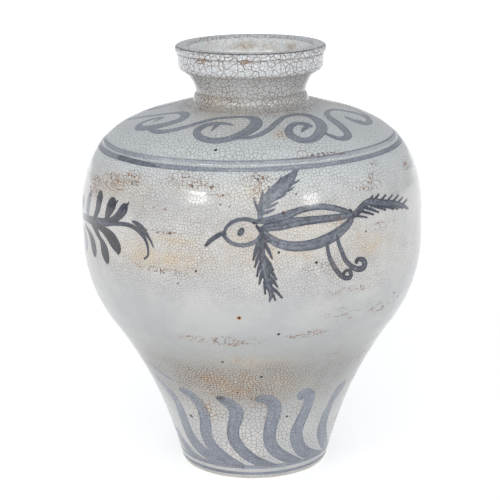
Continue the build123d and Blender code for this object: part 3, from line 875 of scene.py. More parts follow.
age = {
    # angle, height, reach sideways in degrees, reach upward in millimetres, strength
    "stain": [
        (-24, 100, 9, 9, 0.8), (-27, 66, 4, 7, 1), (-28, 73, 4, 4, 0.6), (-14, 96, 12, 12, 0.6),
        (-6, 109, 12, 7, 0.45), (-2, 94, 8, 9, 0.4), (7, 60, 2.5, 4, 0.5), (-9, 88, 6, 5, 0.4),
        (-1, 88, 6, 8, 0.35), (12, 117, 6, 5, 0.3), (-20, 214, 7, 7, 0.3), (22, 200, 5, 8, 0.5),
        (-46, 262, 10, 8, 0.2), (-54, 256, 6, 8, 0.2), (-64, 252, 6, 6, 0.3), (1.5, 264, 3, 7, 0.4),
        (-40, 347.4, 7, 1.8, 1.3), (-29, 345, 8, 2.6, 0.6), (-4, 348, 4.5, 2, 1.7),
        (32, 347.2, 14, 1.8, 0.6), (-64, 343.6, 5, 2, 0.6), (-56, 313, 12, 4, 0.6),
        (-20, 315, 20, 3, 0.35), (40, 313, 26, 3, 0.35), (14, 296.5, 3, 1.6, 0.8), (98, 303, 7, 3.5, 1.3),
        (112, 100, 20, 20, 0.6), (150, 252, 22, 9, 0.5), (-128, 92, 22, 18, 0.7), (-150, 205, 14, 9, 0.4),
        (165, 346.5, 30, 2.4, 0.9), (-120, 346.5, 16, 2.4, 0.6),
    ],
    "beige": [
        (-18, 208, 15, 7, 0.65), (-24, 223, 9, 3, 0.7), (-36, 208, 9, 9, 0.7), (12, 214, 9, 5, 0.7),
        (14, 234, 14, 7, 0.5), (-4, 226, 6, 8, 0.4), (42, 215, 8, 6, 0.75), (43, 207, 5, 4, 0.5),
        (-20, 96, 16, 14, 0.4), (6, 94, 18, 13, 0.4), (-2, 120, 12, 5, 0.35), (-50, 256, 14, 9, 0.5),
        (-18, 262, 16, 6, 0.3), (2, 262, 5, 9, 0.35), (-20, 303.5, 16, 5, 0.45), (-45, 312, 20, 5, 0.6),
        (36, 224, 4, 4, 0.4), (14, 297, 3.5, 2, 0.9), (98, 303, 8, 4, 1.2), (-27, 68, 7, 8, 0.6),
        (110, 220, 18, 11, 0.6), (-120, 230, 16, 10, 0.6), (170, 172, 18, 11, 0.4),
        (-128, 92, 24, 20, 0.5), (112, 100, 22, 20, 0.5),
    ],
    "rust": [
        (-53, 262, 6, 3, 1.2), (-54, 255, 5, 3, 1), (-64, 252, 4, 6, 1.2), (-45, 264, 4, 5, 0.8),
        (-24, 268, 5, 4, 1), (-17, 264.5, 6, 2, 1), (-10, 259, 4, 1.6, 1), (1.8, 264, 1.8, 9, 1),
        (41, 258, 5, 3, 1), (45, 261, 2, 5, 1), (69, 263, 4, 3, 0.8), (48, 272, 3, 2, 0.7),
        (20, 286, 2, 2, 0.8), (-30, 198, 11, 3, 0.7), (23, 202, 6, 5, 0.5), (-14, 142, 12, 3, 1),
        (-8, 139, 6, 2, 0.7), (34, 180, 14, 3, 0.6), (50, 157, 6, 6, 0.7), (31, 160, 9, 8, 0.5),
        (-2, 121, 9, 5, 0.4), (28, 282.6, 7, 0.9, 1.6), (20, 145, 8, 3, 0.8), (-32, 228.5, 7, 0.9, 1.5),
        (34, 119.8, 3, 0.9, 1.3), (-30, 246, 6, 1, 0.9), (3, 270, 5, 1.4, 0.9), (26, 236, 3, 3, 0.9),
        (46, 226, 5, 4, 0.8), (-66, 246, 3, 6, 1), (100, 262, 10, 5, 0.8), (160, 258, 12, 5, 0.7),
        (-110, 255, 10, 5, 0.8), (-160, 140, 12, 3, 0.9), (130, 150, 10, 3, 0.8), (-95, 190, 10, 4, 0.6),
        (175, 210, 8, 5, 0.5),
    ],
    "soot": [
        (28.5, 283.9, 7, 0.7, 1.05), (-17.6, 80.6, 2, 1, 2.6), (3.3, 104.1, 0.7, 0.7, 2),
        (150, 83, 2, 0.8, 1.6), (-140, 262, 6, 0.8, 1),
    ],
    # where the glaze is too thin or too thick to craze; the same patches make it darker, partly its own
    # greyer tone and partly painted shade on the sides and round the lower belly
    "smooth": [
        (0, 153, 360, 22, 1.1), (60, 235, 16, 34, 0.5), (-90, 292, 26, 12, 0.5), (62, 295, 26, 12, 0.5),
        (50, 70, 22, 34, 0.6), (-60, 60, 14, 40, 0.5), (0, 5, 360, 12, 0.5), (-75, 240, 10, 30, 0.3),
    ],
    "inside": [
        (-137, 348, 4, 3, 1), (-176, 346, 5, 3, 0.9), (164, 345, 16, 3, 0.5), (136, 346.5, 6, 3.5, 0.9),
        (-164, 345, 8, 2, 0.4), (30, 340, 20, 4, 0.5), (-60, 335, 16, 5, 0.5),
    ],
    # lines of dirt and thin glaze round the neck, the rim and the foot: height, half width, strength
    "grime": [
        (316.4, 0.6, 0.6), (309.9, 0.7, 0.4), (307.4, 0.6, 0.3), (334.4, 1.3, 0.4), (348.9, 0.7, 0.45),
        (13.4, 0.8, 0.3), (2.1, 0.5, 0.6),
    ],
    "rim": (354.2, 0.42),
}


def patches(name, place):
    # soft patches added up over the whole grid
    height = place[:, :, 2] / mm
    total = np.zeros(height.shape)
    for angle, middle, sideways, upward, strength in age[name]:
        off = (np.degrees(front)[None, :] - angle + 180) % 360 - 180
        total += strength * np.exp(-((off / sideways) ** 2 + ((height - middle) / upward) ** 2) / 1.5)
    return np.clip(total, 0, 1.5)


def grimeLines(place):
    height = place[:, :, 2] / mm
    total = np.zeros(height.shape)
    for middle, half, strength in age["grime"]:
        total += strength * np.exp(-((height - middle) / half) ** 2)
    return total


def rimLine(place):
    # the worn outer edge of the lip, kept off the inner edge by its radius
    height = place[:, :, 2] / mm
    middle, half = age["rim"]
    outside = np.hypot(place[:, :, 0], place[:, :, 1]) / mm > vase["lipRadius"] - vase["lipOuterEdge"]
    return outside * np.exp(-((height - middle) / half) ** 2)


def riseOf(place):
    # length along the outline, counted in units of the radius that it is at
    radius = np.hypot(place[:, :, 0], place[:, :, 1]).mean(1)
    steps = np.linalg.norm(np.diff(place[:, 0], axis=0), axis=1) * 2 / (radius[1:] + radius[:-1])
    return np.concatenate([[0], np.cumsum(steps)])[:, None] + np.zeros(place.shape[1])


fields = {
    "brushGap": painter.gap, "brushSecond": painter.second, "brushLoad": painter.load,
    "brushAlong": painter.along, "brushAcross": painter.across,
    "grime": grimeLines(outerPlace), "rim": rimLine(outerPlace), "rise": riseOf(outerPlace),
}
for name in ("stain", "beige", "rust", "soot", "smooth"):
    fields[name] = patches(name, outerPlace)
print("age marks placed")


# Glaze pieces, cut from the outside where a section ends

def ringMesh(name, place, normal, grids, skip=1, caps=()):
    # a band of faces round the axis, with a value for each point from each grid; a cap closes the last
    # row where it is 1, and the first where it is 0
    place, normal = place[:, ::skip], normal[:, ::skip]
    rows, cols = place.shape[:2]
    index = np.arange(rows * cols).reshape(rows, cols)
    right = np.roll(index, -1, 1)
    quads = np.stack([index[:-1], right[:-1], right[1:], index[1:]], -1).reshape(-1, 4)
    lids = [index[-1] if cap else index[0, ::-1] for cap in caps]
    corners = np.concatenate([quads.reshape(-1), *lids])
    starts = np.concatenate([np.arange(0, quads.size, 4), quads.size + cols * np.arange(len(lids))])
    mesh = bpy.data.meshes.new(name)
    mesh.vertices.add(rows * cols)
    mesh.vertices.foreach_set("co", place.reshape(-1))
    mesh.loops.add(len(corners))
    mesh.loops.foreach_set("vertex_index", corners)
    mesh.polygons.add(len(starts))
    mesh.polygons.foreach_set("loop_start", starts)
    mesh.polygons.foreach_set("use_smooth", np.ones(len(starts), bool))
    mesh.update()
    layUv(mesh, place, rows, cols, len(lids))
    mesh.normals_split_custom_set_from_vertices(normal.reshape(-1, 3))
    for key, grid in grids.items():
        layer = mesh.attributes.new(key, "FLOAT", "POINT")
        values = np.ascontiguousarray(grid[:, ::skip], dtype=np.float32)
        layer.data.foreach_set("value", values.reshape(-1))
    piece = bpy.data.objects.new(name, mesh)
    bpy.context.collection.objects.link(piece)
    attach(piece, "root")
    return piece


def layUv(mesh, place, rows, cols, lids):
    # the band is cut into strips that lie one above the other, with a gutter round each
    gutter = 0.006
    steps = np.linalg.norm(np.diff(place[:, 0], axis=0), axis=1)
    up = np.concatenate([[0], np.cumsum(steps)])
    girth = turn * np.hypot(place[:, 0, 0], place[:, 0, 1]).max()
    strips = max(1, round(math.sqrt(girth / up[-1])))
    share = cols / strips
    column = np.tile(np.arange(cols), rows - 1)
    row = np.repeat(np.arange(rows - 1), cols)
    strip = np.floor(column / share)
    left = (column - strip * share) / share
    right = left + 1 / share
    low, high = up[row] / up[-1], up[row + 1] / up[-1]
    tall = gutter * strips
    across = np.stack([left, right, right, left], -1).clip(0, 1) * (1 - 2 * gutter) + gutter
    upward = np.stack([low, low, high, high], -1) * (1 - 2 * tall) + tall
    corners = np.stack([across, (upward + strip[:, None]) / strips], -1)
    # a lid is a speck at the axis, and takes a dot of colour from the corner of the square
    spot = np.linspace(0, turn, cols, endpoint=False)
    dot = np.stack([np.cos(spot), np.sin(spot)], -1) * gutter / 4 + gutter / 2
    layer = mesh.uv_layers.new(name="OFBake")
    layer.data.foreach_set("uv", np.concatenate([corners.reshape(-1), *[dot.reshape(-1)] * lids]))


glazeCuts = {
    "glaze_lower_body": (0, 118), "glaze_belly": (118, 226), "glaze_shoulder": (226, neckRootHeight),
    "glaze_neck_and_lip": (neckRootHeight, None),
}


def rowAt(height):
    return int(np.argmin(abs(outerMarks - alongAt(height))))


glazePieces = []
for name, (low, high) in glazeCuts.items():
    first = rowAt(low) if low else 0
    last = rowAt(high) + 1 if high else len(outerMarks)
    skip = 1 if high else 2
    values = {key: grid[first:last] for key, grid in fields.items()}
    glazePieces.append(ringMesh(name, outerPlace[first:last], outerNormal[first:last], values, skip))
    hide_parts("outer_glaze")
print("glaze pieces:", [len(piece.data.polygons) for piece in glazePieces])


def plainRing(name, points, spacing, node, lid):
    # faces the hollow, so its columns run the other way round
    place = surface(points, spacing)[1]
    values = {"inside": patches("inside", place)[:, ::-1]}
    piece = ringMesh(name, place[:, ::-1], -normalsOf(place)[:, ::-1], values, 4, [lid])
    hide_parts(node)
    return piece


insidePiece = plainRing("glaze_inside", innerProfile()[1:], 1.6, "inner_glaze", lid=0)
basePiece = plainRing("glaze_base", baseProfile()[:-1], 0.8, "base_glaze", lid=1)
print("inside and base glaze made")


# Finishes

def tone(*parts):
    # red, green and blue as the eye reads them, from 0 to 255, turned into linear light
    return tuple(((part / 255 + 0.055) / 1.055) ** 2.4 for part in parts)


glazeLook = {
    "pale": tone(206, 206, 204), "grey": tone(190, 192, 194), "shoulder": tone(209, 214, 216),
    # low is a darker tone for painted shade on the lower body, and in part where the glaze is smooth
    "neck": tone(208, 211, 214), "tintAndShadeUnderCollar": tone(172, 168, 158), "low": tone(149, 153, 153),
    "beige": tone(206, 188, 158),
    "shares": {"shoulder": 0.8, "low": 0.95, "smooth": 0.4, "tintAndShadeUnderCollar": 0.32, "beige": 0.75, "mostBeige": 0.8},
    "cloudGrain": 0.014, "broadGrain": 0.05,
    # heights in millimetres between which each part of the surface begins
    "heights": {
        "neck": (303, 309), "underLip": (340, 330), "crown": (279, 285), "shoulder": (245, 275),
        "middle": (236, 262), "waist": (168, 104), "aboveFoot": (34, 104), "foot": (124, 104),
        "lowFoot": (88, 68),
    },
}


def glazeZones(height):
    # how far each place belongs to each part, the parts with a net of their own without overlap
    where = {name: height.fade(*span) for name, span in glazeLook["heights"].items()}
    rest = 1 - where["neck"]
    where["collar"] = where["fineCollar"] = where["neck"]
    where["crown"] = where["crown"] * rest
    where["middle"] = where["middle"] * (1 - where["crown"]) * rest
    where["foot"] = where["foot"] * (1 - where["lowFoot"])
    above = (1 - where["middle"]) * (1 - where["crown"]) * rest
    where["belly"] = (1 - where["foot"]) * (1 - where["lowFoot"]) * above
    return where


def glazeBody(finish, where):
    # pale and greyer clouds, a greener shoulder, bluish cells on the neck, beige where stained; painted
    # shade makes the lower body, in part the smooth patches, and the neck under the collar darker
    look, shares = glazeLook, glazeLook["shares"]
    cloud = finish.noise(look["cloudGrain"], 3, 0.6, seed=1)
    clouds = (finish.noise(look["broadGrain"], 3, 0.55) * 0.6 + cloud * 0.4).fade(0.38, 0.62)
    beige = finish.attribute("beige") * (cloud.fade(0.35, 0.62) * 0.7 + 0.3)
    layers = [
        (where["shoulder"] * shares["shoulder"], "shoulder"),
        (where["neck"], "neck"),
        # painted shade: the lower body is made darker, as if it turned away from the light
        (where["waist"] * where["aboveFoot"] * shares["low"], "low"),
        # darker where the glaze is smooth: partly its own greyer tone, partly painted shade on the sides and
        # round the lower belly
        (finish.attribute("smooth").atMost(1) * shares["smooth"], "low"),
        # painted shade under the overhanging collar, together with the neck's own warmer tint
        (where["underLip"] * where["neck"] * shares["tintAndShadeUnderCollar"], "tintAndShadeUnderCollar"),
        ((beige * shares["beige"]).atMost(shares["mostBeige"]), "beige"),
    ]
    colour = finish.mix(clouds, look["pale"], look["grey"])
    for amount, shade in layers:
        colour = finish.mix(amount, colour, look[shade])
    return colour


pigmentLook = {
    "wash": tone(146, 152, 163), "ink": tone(54, 60, 74), "thickInk": tone(30, 32, 37),
    # loads of the brush between which each comes in
    "washFrom": (0, 0.45), "inkFrom": (0.2, 1.35), "thickFrom": (1.2, 2.1), "cover": 0.98,
    # millimetres from the edge of a stroke, negative inside it
    "edge": (0.6, 0.05), "pool": (-0.35, 0.7), "doubled": (0.3, -0.4), "bleed": (2, 0.3),
    "featherGrain": 0.0018, "fineGrain": 0.001, "mottleGrain": 0.005,
    # bristle streaks, as turns of the noise by a millimetre along the stroke and from edge to edge
    "streakAlong": 0.035, "streakAcross": 1.7,
    # how much each moves the edge, and how much each changes the load
    "edgeBy": {"feather": 0.55, "fine": 0.25},
    "loadBy": {"pool": 0.22, "streak": 1.1, "mottle": 1.1, "fine": 1.4, "doubled": 0.25, "bleed": 0.07},
}


def brushwork(finish, colour):
    look, edgeBy, loadBy = pigmentLook, pigmentLook["edgeBy"], pigmentLook["loadBy"]
    attribute, noise = finish.attribute, finish.noise
    fine = noise(look["fineGrain"], 2, 0.6, seed=2) - 0.5
    feather = noise(look["featherGrain"], 3, 0.6, seed=3) - 0.5
    ragged = feather * edgeBy["feather"] + fine * edgeBy["fine"]
    gap = attribute("brushGap") + ragged
    inside = gap.fade(*look["edge"])
    pool = gap.hump(*look["pool"])
    doubled = (attribute("brushSecond") + ragged).fade(*look["doubled"])
    along = attribute("brushAlong") * look["streakAlong"]
    across = attribute("brushAcross") * look["streakAcross"]
    bristles = finish.add("ShaderNodeCombineXYZ", {}, [along, across, 0]).outputs[0]
    streak = noise(1, 3, 0.6, place=bristles, seed=4) - 0.5
    mottle = noise(look["mottleGrain"], 3, 0.65, seed=5) - 0.5
    body = 1 + pool * loadBy["pool"] + streak * loadBy["streak"] + mottle * loadBy["mottle"]
    body = body + fine * loadBy["fine"] + doubled * loadBy["doubled"]
    load = attribute("brushLoad")
    carried = (load * body).atLeast(0)
    pigment = finish.mix(carried.fade(*look["inkFrom"]), look["wash"], look["ink"])
    pigment = finish.mix(carried.fade(*look["thickFrom"]), pigment, look["thickInk"])
    bleed = gap.fade(*look["bleed"]) * load * loadBy["bleed"]
    cover = (inside * carried.fade(*look["washFrom"]) + bleed).atMost(look["cover"])
    return finish.mix(cover, colour, pigment), inside


crackleLook = {
    # a fine net over the belly and above the foot, wider on the shoulder and crown, the widest on the
    # neck: width of the cells, radius that they are laid out for, strength and colour of the lines
    "nets": {
        "belly": (0.0027, 0.16, 0.7, tone(138, 116, 96)),
        "middle": (0.0033, 0.152, 0.72, tone(120, 112, 103)),
        "crown": (0.0034, 1, 0.66, tone(120, 112, 103)),
        "foot": (0.0027, 0.105, 1.05, tone(114, 90, 72)),
        "lowFoot": (0.004, 0.08, 0.8, tone(114, 90, 72)),
        "collar": (0.0047, 0.05, 0.78, tone(98, 82, 68)),
        "fineCollar": (0.0026, 0.05, 0.55, tone(98, 82, 68)),
    },
    "long": (0.009, 0.15), "longLine": (0.04, 0.24, 1, 0), "longShare": 0.4,
    # millimetres over which a line and its halo fade out
    "line": (0.1, 0.4, 1, 0), "haloLine": (0.1, 0.9, 1, 0),
    "stained": tone(104, 68, 42), "inked": tone(66, 66, 70), "halo": tone(184, 154, 122),
    # how much stain and pigment change the lines, and the most that they cover
    "staining": 0.7, "inking": 0.85, "inkHides": 0.35, "haloShare": 0.22, "mostHalo": 0.4, "most": 0.94,
}


def crackle(finish, colour, where, painted, rolled, long):
    look, nets = crackleLook, crackleLook["nets"]
    flat = finish.pushed(rolled, 0.006, 0.011)
    onCrown = finish.pushed(finish.place, 0.006, 0.0016)
    patchy = finish.noise(0.02, 3, 0.6, seed=9).fade(0.34, 0.64)
    crazed = (1 - finish.attribute("smooth")).atLeast(0)
    even = (patchy * 0.4 + 0.6) * (crazed + where["neck"]).atMost(1)
    stain = (finish.attribute("stain") + finish.attribute("rust") * 0.2) * (patchy * 0.6 + 0.4)
    longLine = long.fade(*look["longLine"]) * (1 - where["neck"]) * look["longShare"]
    amount, anyLine, halo, lineColour = longLine * even, longLine, 0, nets["belly"][3]
    for number, (name, (cell, reach, strength, shade)) in enumerate(nets.items()):
        gap = finish.cracks(cell, onCrown if name == "crown" else flat, reach, seed=number + 1)
        line = gap.fade(*look["line"]) * where[name]
        amount = amount + line * even * strength
        anyLine = anyLine + line * strength
        halo = gap.fade(*look["haloLine"]) * where[name] + halo
        lineColour = finish.mix(where[name], lineColour, shade)
    # brown where dirt has soaked in, dark under the brushwork
    lineColour = finish.mix((stain * (1 - where["neck"] * 0.6)).atMost(1), lineColour, look["stained"])
    lineColour = finish.mix(painted * look["inking"], lineColour, look["inked"])
    colour = finish.mix((halo * stain * look["haloShare"]).atMost(look["mostHalo"]), colour, look["halo"])
    amount = (amount + anyLine * stain * look["staining"]) * (1 - painted * look["inkHides"])
    return finish.mix(amount.atMost(look["most"]), colour, lineColour), anyLine.atMost(1), patchy


ageLook = {
    "grime": tone(118, 104, 88), "rim": tone(70, 60, 55), "rust": tone(84, 50, 28),
    "orange": tone(136, 88, 46), "deposit": tone(142, 106, 70), "soot": tone(48, 38, 32),
    "mostGrime": 0.9, "mostRim": 0.85, "mostRust": 0.96, "mostDeposit": 0.6, "mostSoot": 0.9,
    "fineGrain": 0.0018, "stringGrain": 0.02, "stringWidth": (0.008, 0.024, 1, 0),
    "trailWidth": (0.2, 0.5, 1, 0), "dotCell": 0.0034, "dotSize": (0.6, 0.95, 1, 0),
}


def ageMarks(finish, colour, long):
    # dirt in the turned lines, a worn rim, and rust in dots and strings along the longer cracks
    look = ageLook
    attribute, noise = finish.attribute, finish.noise
    grime = (attribute("grime") * noise(0.008, 3, 0.7, seed=10).fade(0.3, 0.6)).atMost(look["mostGrime"])
    rim = (attribute("rim") * noise(0.01, 3, 0.6, seed=15).fade(0.2, 0.5)).atMost(look["mostRim"])
    field = attribute("rust")
    fine = noise(look["fineGrain"], 3, 0.7, seed=16)
    level = finish.vector("MULTIPLY", finish.place, (1, 1, 3))
    drift = (noise(look["stringGrain"], 3, 0.6, place=level, seed=11) - 0.5).size()
    strings = drift.fade(*look["stringWidth"]) * field.fade(0.1, 0.6)
    trails = long.fade(*look["trailWidth"]) * field.fade(0.3, 0.8)
    gap, number = finish.dots(look["dotCell"], seed=18)
    dots = (gap + (fine - 0.5) * 1.6).fade(*look["dotSize"]) * number.fade(0.5, 0.54) * field.fade(0.3, 0.7)
    rust = (strings.atLeast(trails) * fine.fade(0.46, 0.52)).atLeast(dots)
    rustTone = finish.mix(noise(0.006, 2, 0.5, seed=17).fade(0.42, 0.6), look["orange"], look["rust"])
    deposit = (attribute("stain") * fine).fade(0.5, 0.8)
    soot = (attribute("soot") * fine.fade(0.36, 0.62)).fade(0.4, 0.6)
    layers = [
        (grime, look["grime"]), (rim, look["rim"]), (rust * look["mostRust"], rustTone),
        (deposit * look["mostDeposit"], look["deposit"]), (soot * look["mostSoot"], look["soot"]),
    ]
    for amount, shade in layers:
        colour = finish.mix(amount, colour, shade)
    return colour, rust.atLeast(soot), grime


speckLook = {
    "black": tone(12, 11, 10), "rust": tone(84, 50, 28), "ring": tone(196, 128, 62),
    "mostBlack": 0.95, "mostRust": 0.9, "mostRing": 0.85, "mostSmall": 0.7,
    "smallCell": 0.018, "smallSize": (0.25, 0.5, 1, 0), "ringSize": (1.2, 2.6, 1, 0),
}

ironSpots = [
    # angle, height, radius, and kind: 0 black, 1 black with a rusty ring, 2 rust
    (-14.5, 288.2, 0.75, 0), (-17.8, 200.5, 0.55, 0), (-40.8, 55.8, 0.8, 0), (8.5, 147.9, 0.7, 0),
    (-12.6, 119.5, 0.65, 0), (-4.6, 163.5, 0.7, 1), (8, 215.8, 0.6, 0), (20, 205.8, 0.65, 0),
    (3.3, 104.3, 0.7, 0), (-8.1, 87.7, 0.5, 2), (-1.1, 81.4, 0.4, 2), (9.6, 245.8, 0.6, 2),
    (-13.7, 264, 0.5, 2), (-20, 264.5, 0.45, 2), (-9.5, 259.1, 0.4, 2), (-10.1, 252, 0.4, 2),
    (-7.2, 250.8, 0.4, 2), (14.3, 258.6, 0.45, 2), (-28.9, 196.7, 0.45, 2), (-24, 189.3, 0.5, 2),
    (55.7, 164.8, 0.6, 0), (60, 158.9, 0.6, 0), (50.4, 156.1, 0.5, 2), (38.2, 224.2, 0.5, 2),
    (19, 61, 0.6, 0), (96, 215, 0.7, 0), (132, 160, 0.8, 1), (171, 285, 0.6, 0), (-140, 180, 0.7, 0),
    (-102, 120, 0.6, 1), (-165, 230, 0.5, 0),
]


def onGlaze(angle, height):
    # the place in metres on the outside, at an angle from the front
    radius = float(np.interp(height, outer[:lipIndex, 1], outer[:lipIndex, 0]))
    angle = math.radians(angle)
    return (radius * math.sin(angle) * mm, -radius * math.cos(angle) * mm, height * mm)


def ironSpecks(finish, colour):
    # a scatter of small rusty dots, and the specks that are placed one by one
    look = speckLook
    gap, number = finish.dots(look["smallCell"], seed=12)
    small = gap.fade(*look["smallSize"]) * number.fade(0.6, 0.64)
    colour = finish.mix(small * look["mostSmall"], colour, look["rust"])
    black, ring, rust = small * 0, small * 0, small * 0
    for angle, height, radius, kind in ironSpots:
        sockets = [finish.place, onGlaze(angle, height)]
        away = finish.value("ShaderNodeVectorMath", {"operation": "DISTANCE"}, sockets, "Value") / mm
        speck = away.fade(radius * 1.5, radius * 2.1, 1, 0)
        if kind == 2:
            rust = rust.atLeast(speck)
        else:
            black = black.atLeast(speck)
        if kind == 1:
            ring = ring.atLeast(away.fade(*look["ringSize"]))
    colour = finish.mix(ring * look["mostRing"], colour, look["ring"])
    colour = finish.mix(rust * look["mostRust"], colour, look["rust"])
    return finish.mix(black * look["mostBlack"], colour, look["black"]), black


surfaceLook = {
    "roughness": 0.1, "refraction": 1.48,
    # what dirt adds to the roughness
    "patchy": 0.05, "lines": 0.08, "rust": 0.35, "grime": 0.2,
    # grain, height and strength of the slow waves and of the finer peel; height and strength of the cuts
    "waves": (0.02, 0.0006, 0.3), "peel": (0.0035, 0.00006, 0.35), "cuts": (0.00006, 0.5),
    "lineCut": 0.7, "rustCut": 0.5,
}


def crackleGlaze():
    look = surfaceLook
    finish = Finish("crackle glaze")
    where = glazeZones(finish.height())
    rolled = finish.rolledOut(finish.attribute("rise"))
    cell, reach = crackleLook["long"]
    long = finish.cracks(cell, finish.pushed(rolled, 0.012, 0.03, seed=8), reach)
    colour, painted = brushwork(finish, glazeBody(finish, where))
    colour, anyLine, patchy = crackle(finish, colour, where, painted, rolled, long)
    colour, rust, grime = ageMarks(finish, colour, long)
    colour, specks = ironSpecks(finish, colour)
    rough = look["roughness"] + (patchy - 0.5) * look["patchy"] + anyLine * look["lines"]
    rough = rough + rust * look["rust"] + grime * look["grime"]
    grain, deep, strength = look["waves"]
    waves = finish.bump(finish.noise(grain, 2, 0.4, seed=13), deep, strength)
    grain, deep, strength = look["peel"]
    peel = finish.bump(finish.noise(grain, 2, 0.5, seed=14), deep, strength, waves)
    level = 1 - anyLine * look["lineCut"] - rust * look["rustCut"] - specks
    cut = finish.bump(level, *look["cuts"], peel)
    return finish.finishWith(Base_Color=colour, Roughness=rough, Normal=cut, IOR=look["refraction"])


linerLook = {
    # pale and grey are near white: painted light on the inside of the mouth, which lies in shade
    "pale": tone(248, 249, 248), "grey": tone(239, 242, 243), "line": tone(150, 146, 138),
    "beige": tone(178, 148, 110), "cell": 0.006, "cloudGrain": 0.02, "stainGrain": 0.006,
    "lineShare": 0.35, "stainShare": 0.8, "roughness": 0.2, "refraction": 1.5,
}


def linerGlaze():
    # the glaze inside and under the foot, plain but for a wide net and a few stains; its tone is raised near
    # white, painted light that brightens the shaded inside of the mouth
    look = linerLook
    finish = Finish("liner glaze")
    cloud = finish.noise(look["cloudGrain"], 3, 0.6)
    colour = finish.mix(cloud.fade(0.35, 0.65), look["pale"], look["grey"])
    cracks = finish.cracks(look["cell"], finish.pushed(finish.place, 0.008, 0.002))
    line = cracks.fade(0.1, 0.35, 1, 0)
    stain = finish.attribute("inside") * finish.noise(look["stainGrain"], 3, 0.7, seed=1).fade(0.3, 0.6)
    colour = finish.mix(line * look["lineShare"], colour, look["line"])
    colour = finish.mix((stain * look["stainShare"]).atMost(0.9), colour, look["beige"])
    rough = look["roughness"] + (cloud - 0.5) * 0.1 + line * 0.1
    bump = finish.bump(1 - line * 0.6, 0.00006, 0.5, finish.bump(cloud, 0.0005, 0.3))
    return finish.finishWith(Base_Color=colour, Roughness=rough, Normal=bump, IOR=look["refraction"])


clayLook = {
    # pale tone, dark tone and roughness
    "foot_ring": (tone(212, 211, 206), tone(192, 188, 180), 0.75),
    "body": (tone(206, 196, 178), tone(182, 168, 148), 0.85),
    "slip": (tone(224, 216, 202), tone(204, 194, 178), 0.9),
    "speck": tone(96, 70, 50),
}


def clay(name):
    pale, dark, rough = clayLook[name]
    finish = Finish("clay " + name)
    cloud = finish.noise(0.012, 4, 0.6)
    grit = finish.noise(0.0009, 2, 0.7, seed=1)
    gap, number = finish.dots(0.004, seed=2)
    specks = gap.fade(0.15, 0.4, 1, 0) * number.fade(0.6, 0.7)
    colour = finish.mix((cloud * 0.7 + grit * 0.3).fade(0.35, 0.65), pale, dark)
    colour = finish.mix(specks * 0.6, colour, clayLook["speck"])
    bump = finish.bump(grit, 0.00015, 0.6, finish.bump(cloud, 0.0008, 0.3))
    return finish.finishWith(Base_Color=colour, Roughness=rough + (grit - 0.5) * 0.2, Normal=bump)


def dress(thing, material):
    thing.data.materials.clear()
    thing.data.materials.append(material)


outerMaterial = crackleGlaze()
for piece in glazePieces:
    dress(piece, outerMaterial)
linerMaterial = linerGlaze()
for piece in (insidePiece, basePiece):
    dress(piece, linerMaterial)
clayMaterials = {name: clay(name) for name in ("foot_ring", "body", "slip")}
for name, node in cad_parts.items():
    kind = "slip" if name.endswith("_slip") else "body"
    dress(node, clayMaterials.get(name, clayMaterials[kind]))
print("finishes made")


# Floor, light and camera

studio = {
    "floorRadius": 7, "floorCorners": 96,
    "floorTone": (0.8, 0.8, 0.8), "floorCloud": 0.98, "floorGrain": 0.4,
    # the paper glows, more so away from the vase, which keeps it white
    "nearGlow": 0.512, "farGlow": 0.845, "glowFrom": 0.4, "glowTo": 1.4,
    "skyLight": 0.598, "skyTone": (0.94, 0.965, 1),
    # azimuth from the front, height above the belly in degrees, distance, width, height and brightness
    "lamps": [
        (-37.3, 25.6, 1.82, 0.36, 0.14, 23), (39.5, 19.3, 1.82, 0.3, 0.19, 13.5),
        (0, 30, 2.4, 1.6, 1.2, 1.6),
    ],
    "lampTone": (1, 0.985, 0.96), "lampAim": 0.243,
}


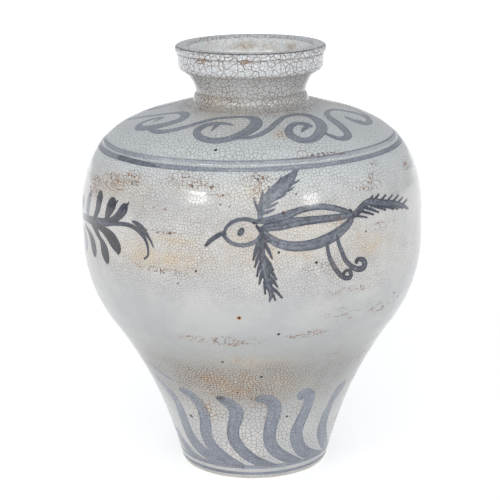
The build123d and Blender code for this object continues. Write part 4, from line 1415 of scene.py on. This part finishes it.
def makeFloor():
    corners = studio["floorCorners"]
    angles = [turn * number / corners for number in range(corners)]
    radius = studio["floorRadius"]
    ring = [(radius * math.cos(angle), radius * math.sin(angle), 0) for angle in angles]
    faces = [(0, number + 1, (number + 1) % corners + 1) for number in range(corners)]
    mesh = bpy.data.meshes.new("floor")
    mesh.from_pydata([(0, 0, 0), *ring], [], faces)
    floor = bpy.data.objects.new("floor", mesh)
    bpy.context.collection.objects.link(floor)
    finish = Finish("floor paper")
    darker = tuple(part * studio["floorCloud"] for part in studio["floorTone"])
    colour = finish.mix(finish.noise(studio["floorGrain"]), studio["floorTone"], darker)
    away = finish.value("ShaderNodeVectorMath", {"operation": "LENGTH"}, [finish.place], "Value")
    glow = away.fade(studio["glowFrom"], studio["glowTo"], studio["nearGlow"], studio["farGlow"])
    finish.finishWith(Base_Color=colour, Roughness=0.9, Emission_Color=glow, Emission_Strength=1)
    dress(floor, finish.material)


def makeLights():
    world = bpy.data.worlds.new("sky")
    bpy.context.scene.world = world
    world.use_nodes = True
    background = world.node_tree.nodes["Background"]
    background.inputs["Color"].default_value = (*studio["skyTone"], 1)
    background.inputs["Strength"].default_value = studio["skyLight"]
    for number, (azimuth, lift, distance, wide, tall, bright) in enumerate(studio["lamps"]):
        azimuth, lift = math.radians(azimuth), math.radians(lift)
        level = math.cos(lift)
        way = Vector((math.sin(azimuth) * level, -math.cos(azimuth) * level, math.sin(lift)))
        data = bpy.data.lights.new("lamp%d" % number, "AREA")
        data.shape = "RECTANGLE"
        data.size, data.size_y = wide, tall
        data.color = studio["lampTone"]
        data.energy = bright * math.pi * wide * tall
        lamp = bpy.data.objects.new(data.name, data)
        lamp.location = Vector((0, 0, studio["lampAim"])) + way * distance
        lamp.rotation_euler = (-way).to_track_quat("-Z", "Y").to_euler()
        bpy.context.collection.objects.link(lamp)


camera = {
    # focal length in pixels of a 500 pixel picture, place in metres, pitch and roll in degrees
    "focalPixels": 1655, "picture": 500, "sensor": 36,
    "place": (-0.0021, -1.344, 0.538), "pitch": 14.88, "roll": -0.6,
}


def makeCamera():
    data = bpy.data.cameras.new("camera")
    data.sensor_width = camera["sensor"]
    data.lens = camera["focalPixels"] * camera["sensor"] / camera["picture"]
    eye = bpy.data.objects.new("camera", data)
    tilt = Matrix.Rotation(math.radians(90 - camera["pitch"]), 4, "X")
    roll = Matrix.Rotation(math.radians(camera["roll"]), 4, "Z")
    eye.matrix_world = Matrix.Translation(camera["place"]) @ tilt @ roll
    bpy.context.collection.objects.link(eye)
    bpy.context.scene.camera = eye


makeFloor()
makeLights()
makeCamera()
bpy.context.scene.view_settings.view_transform = "Standard"
print("studio set")
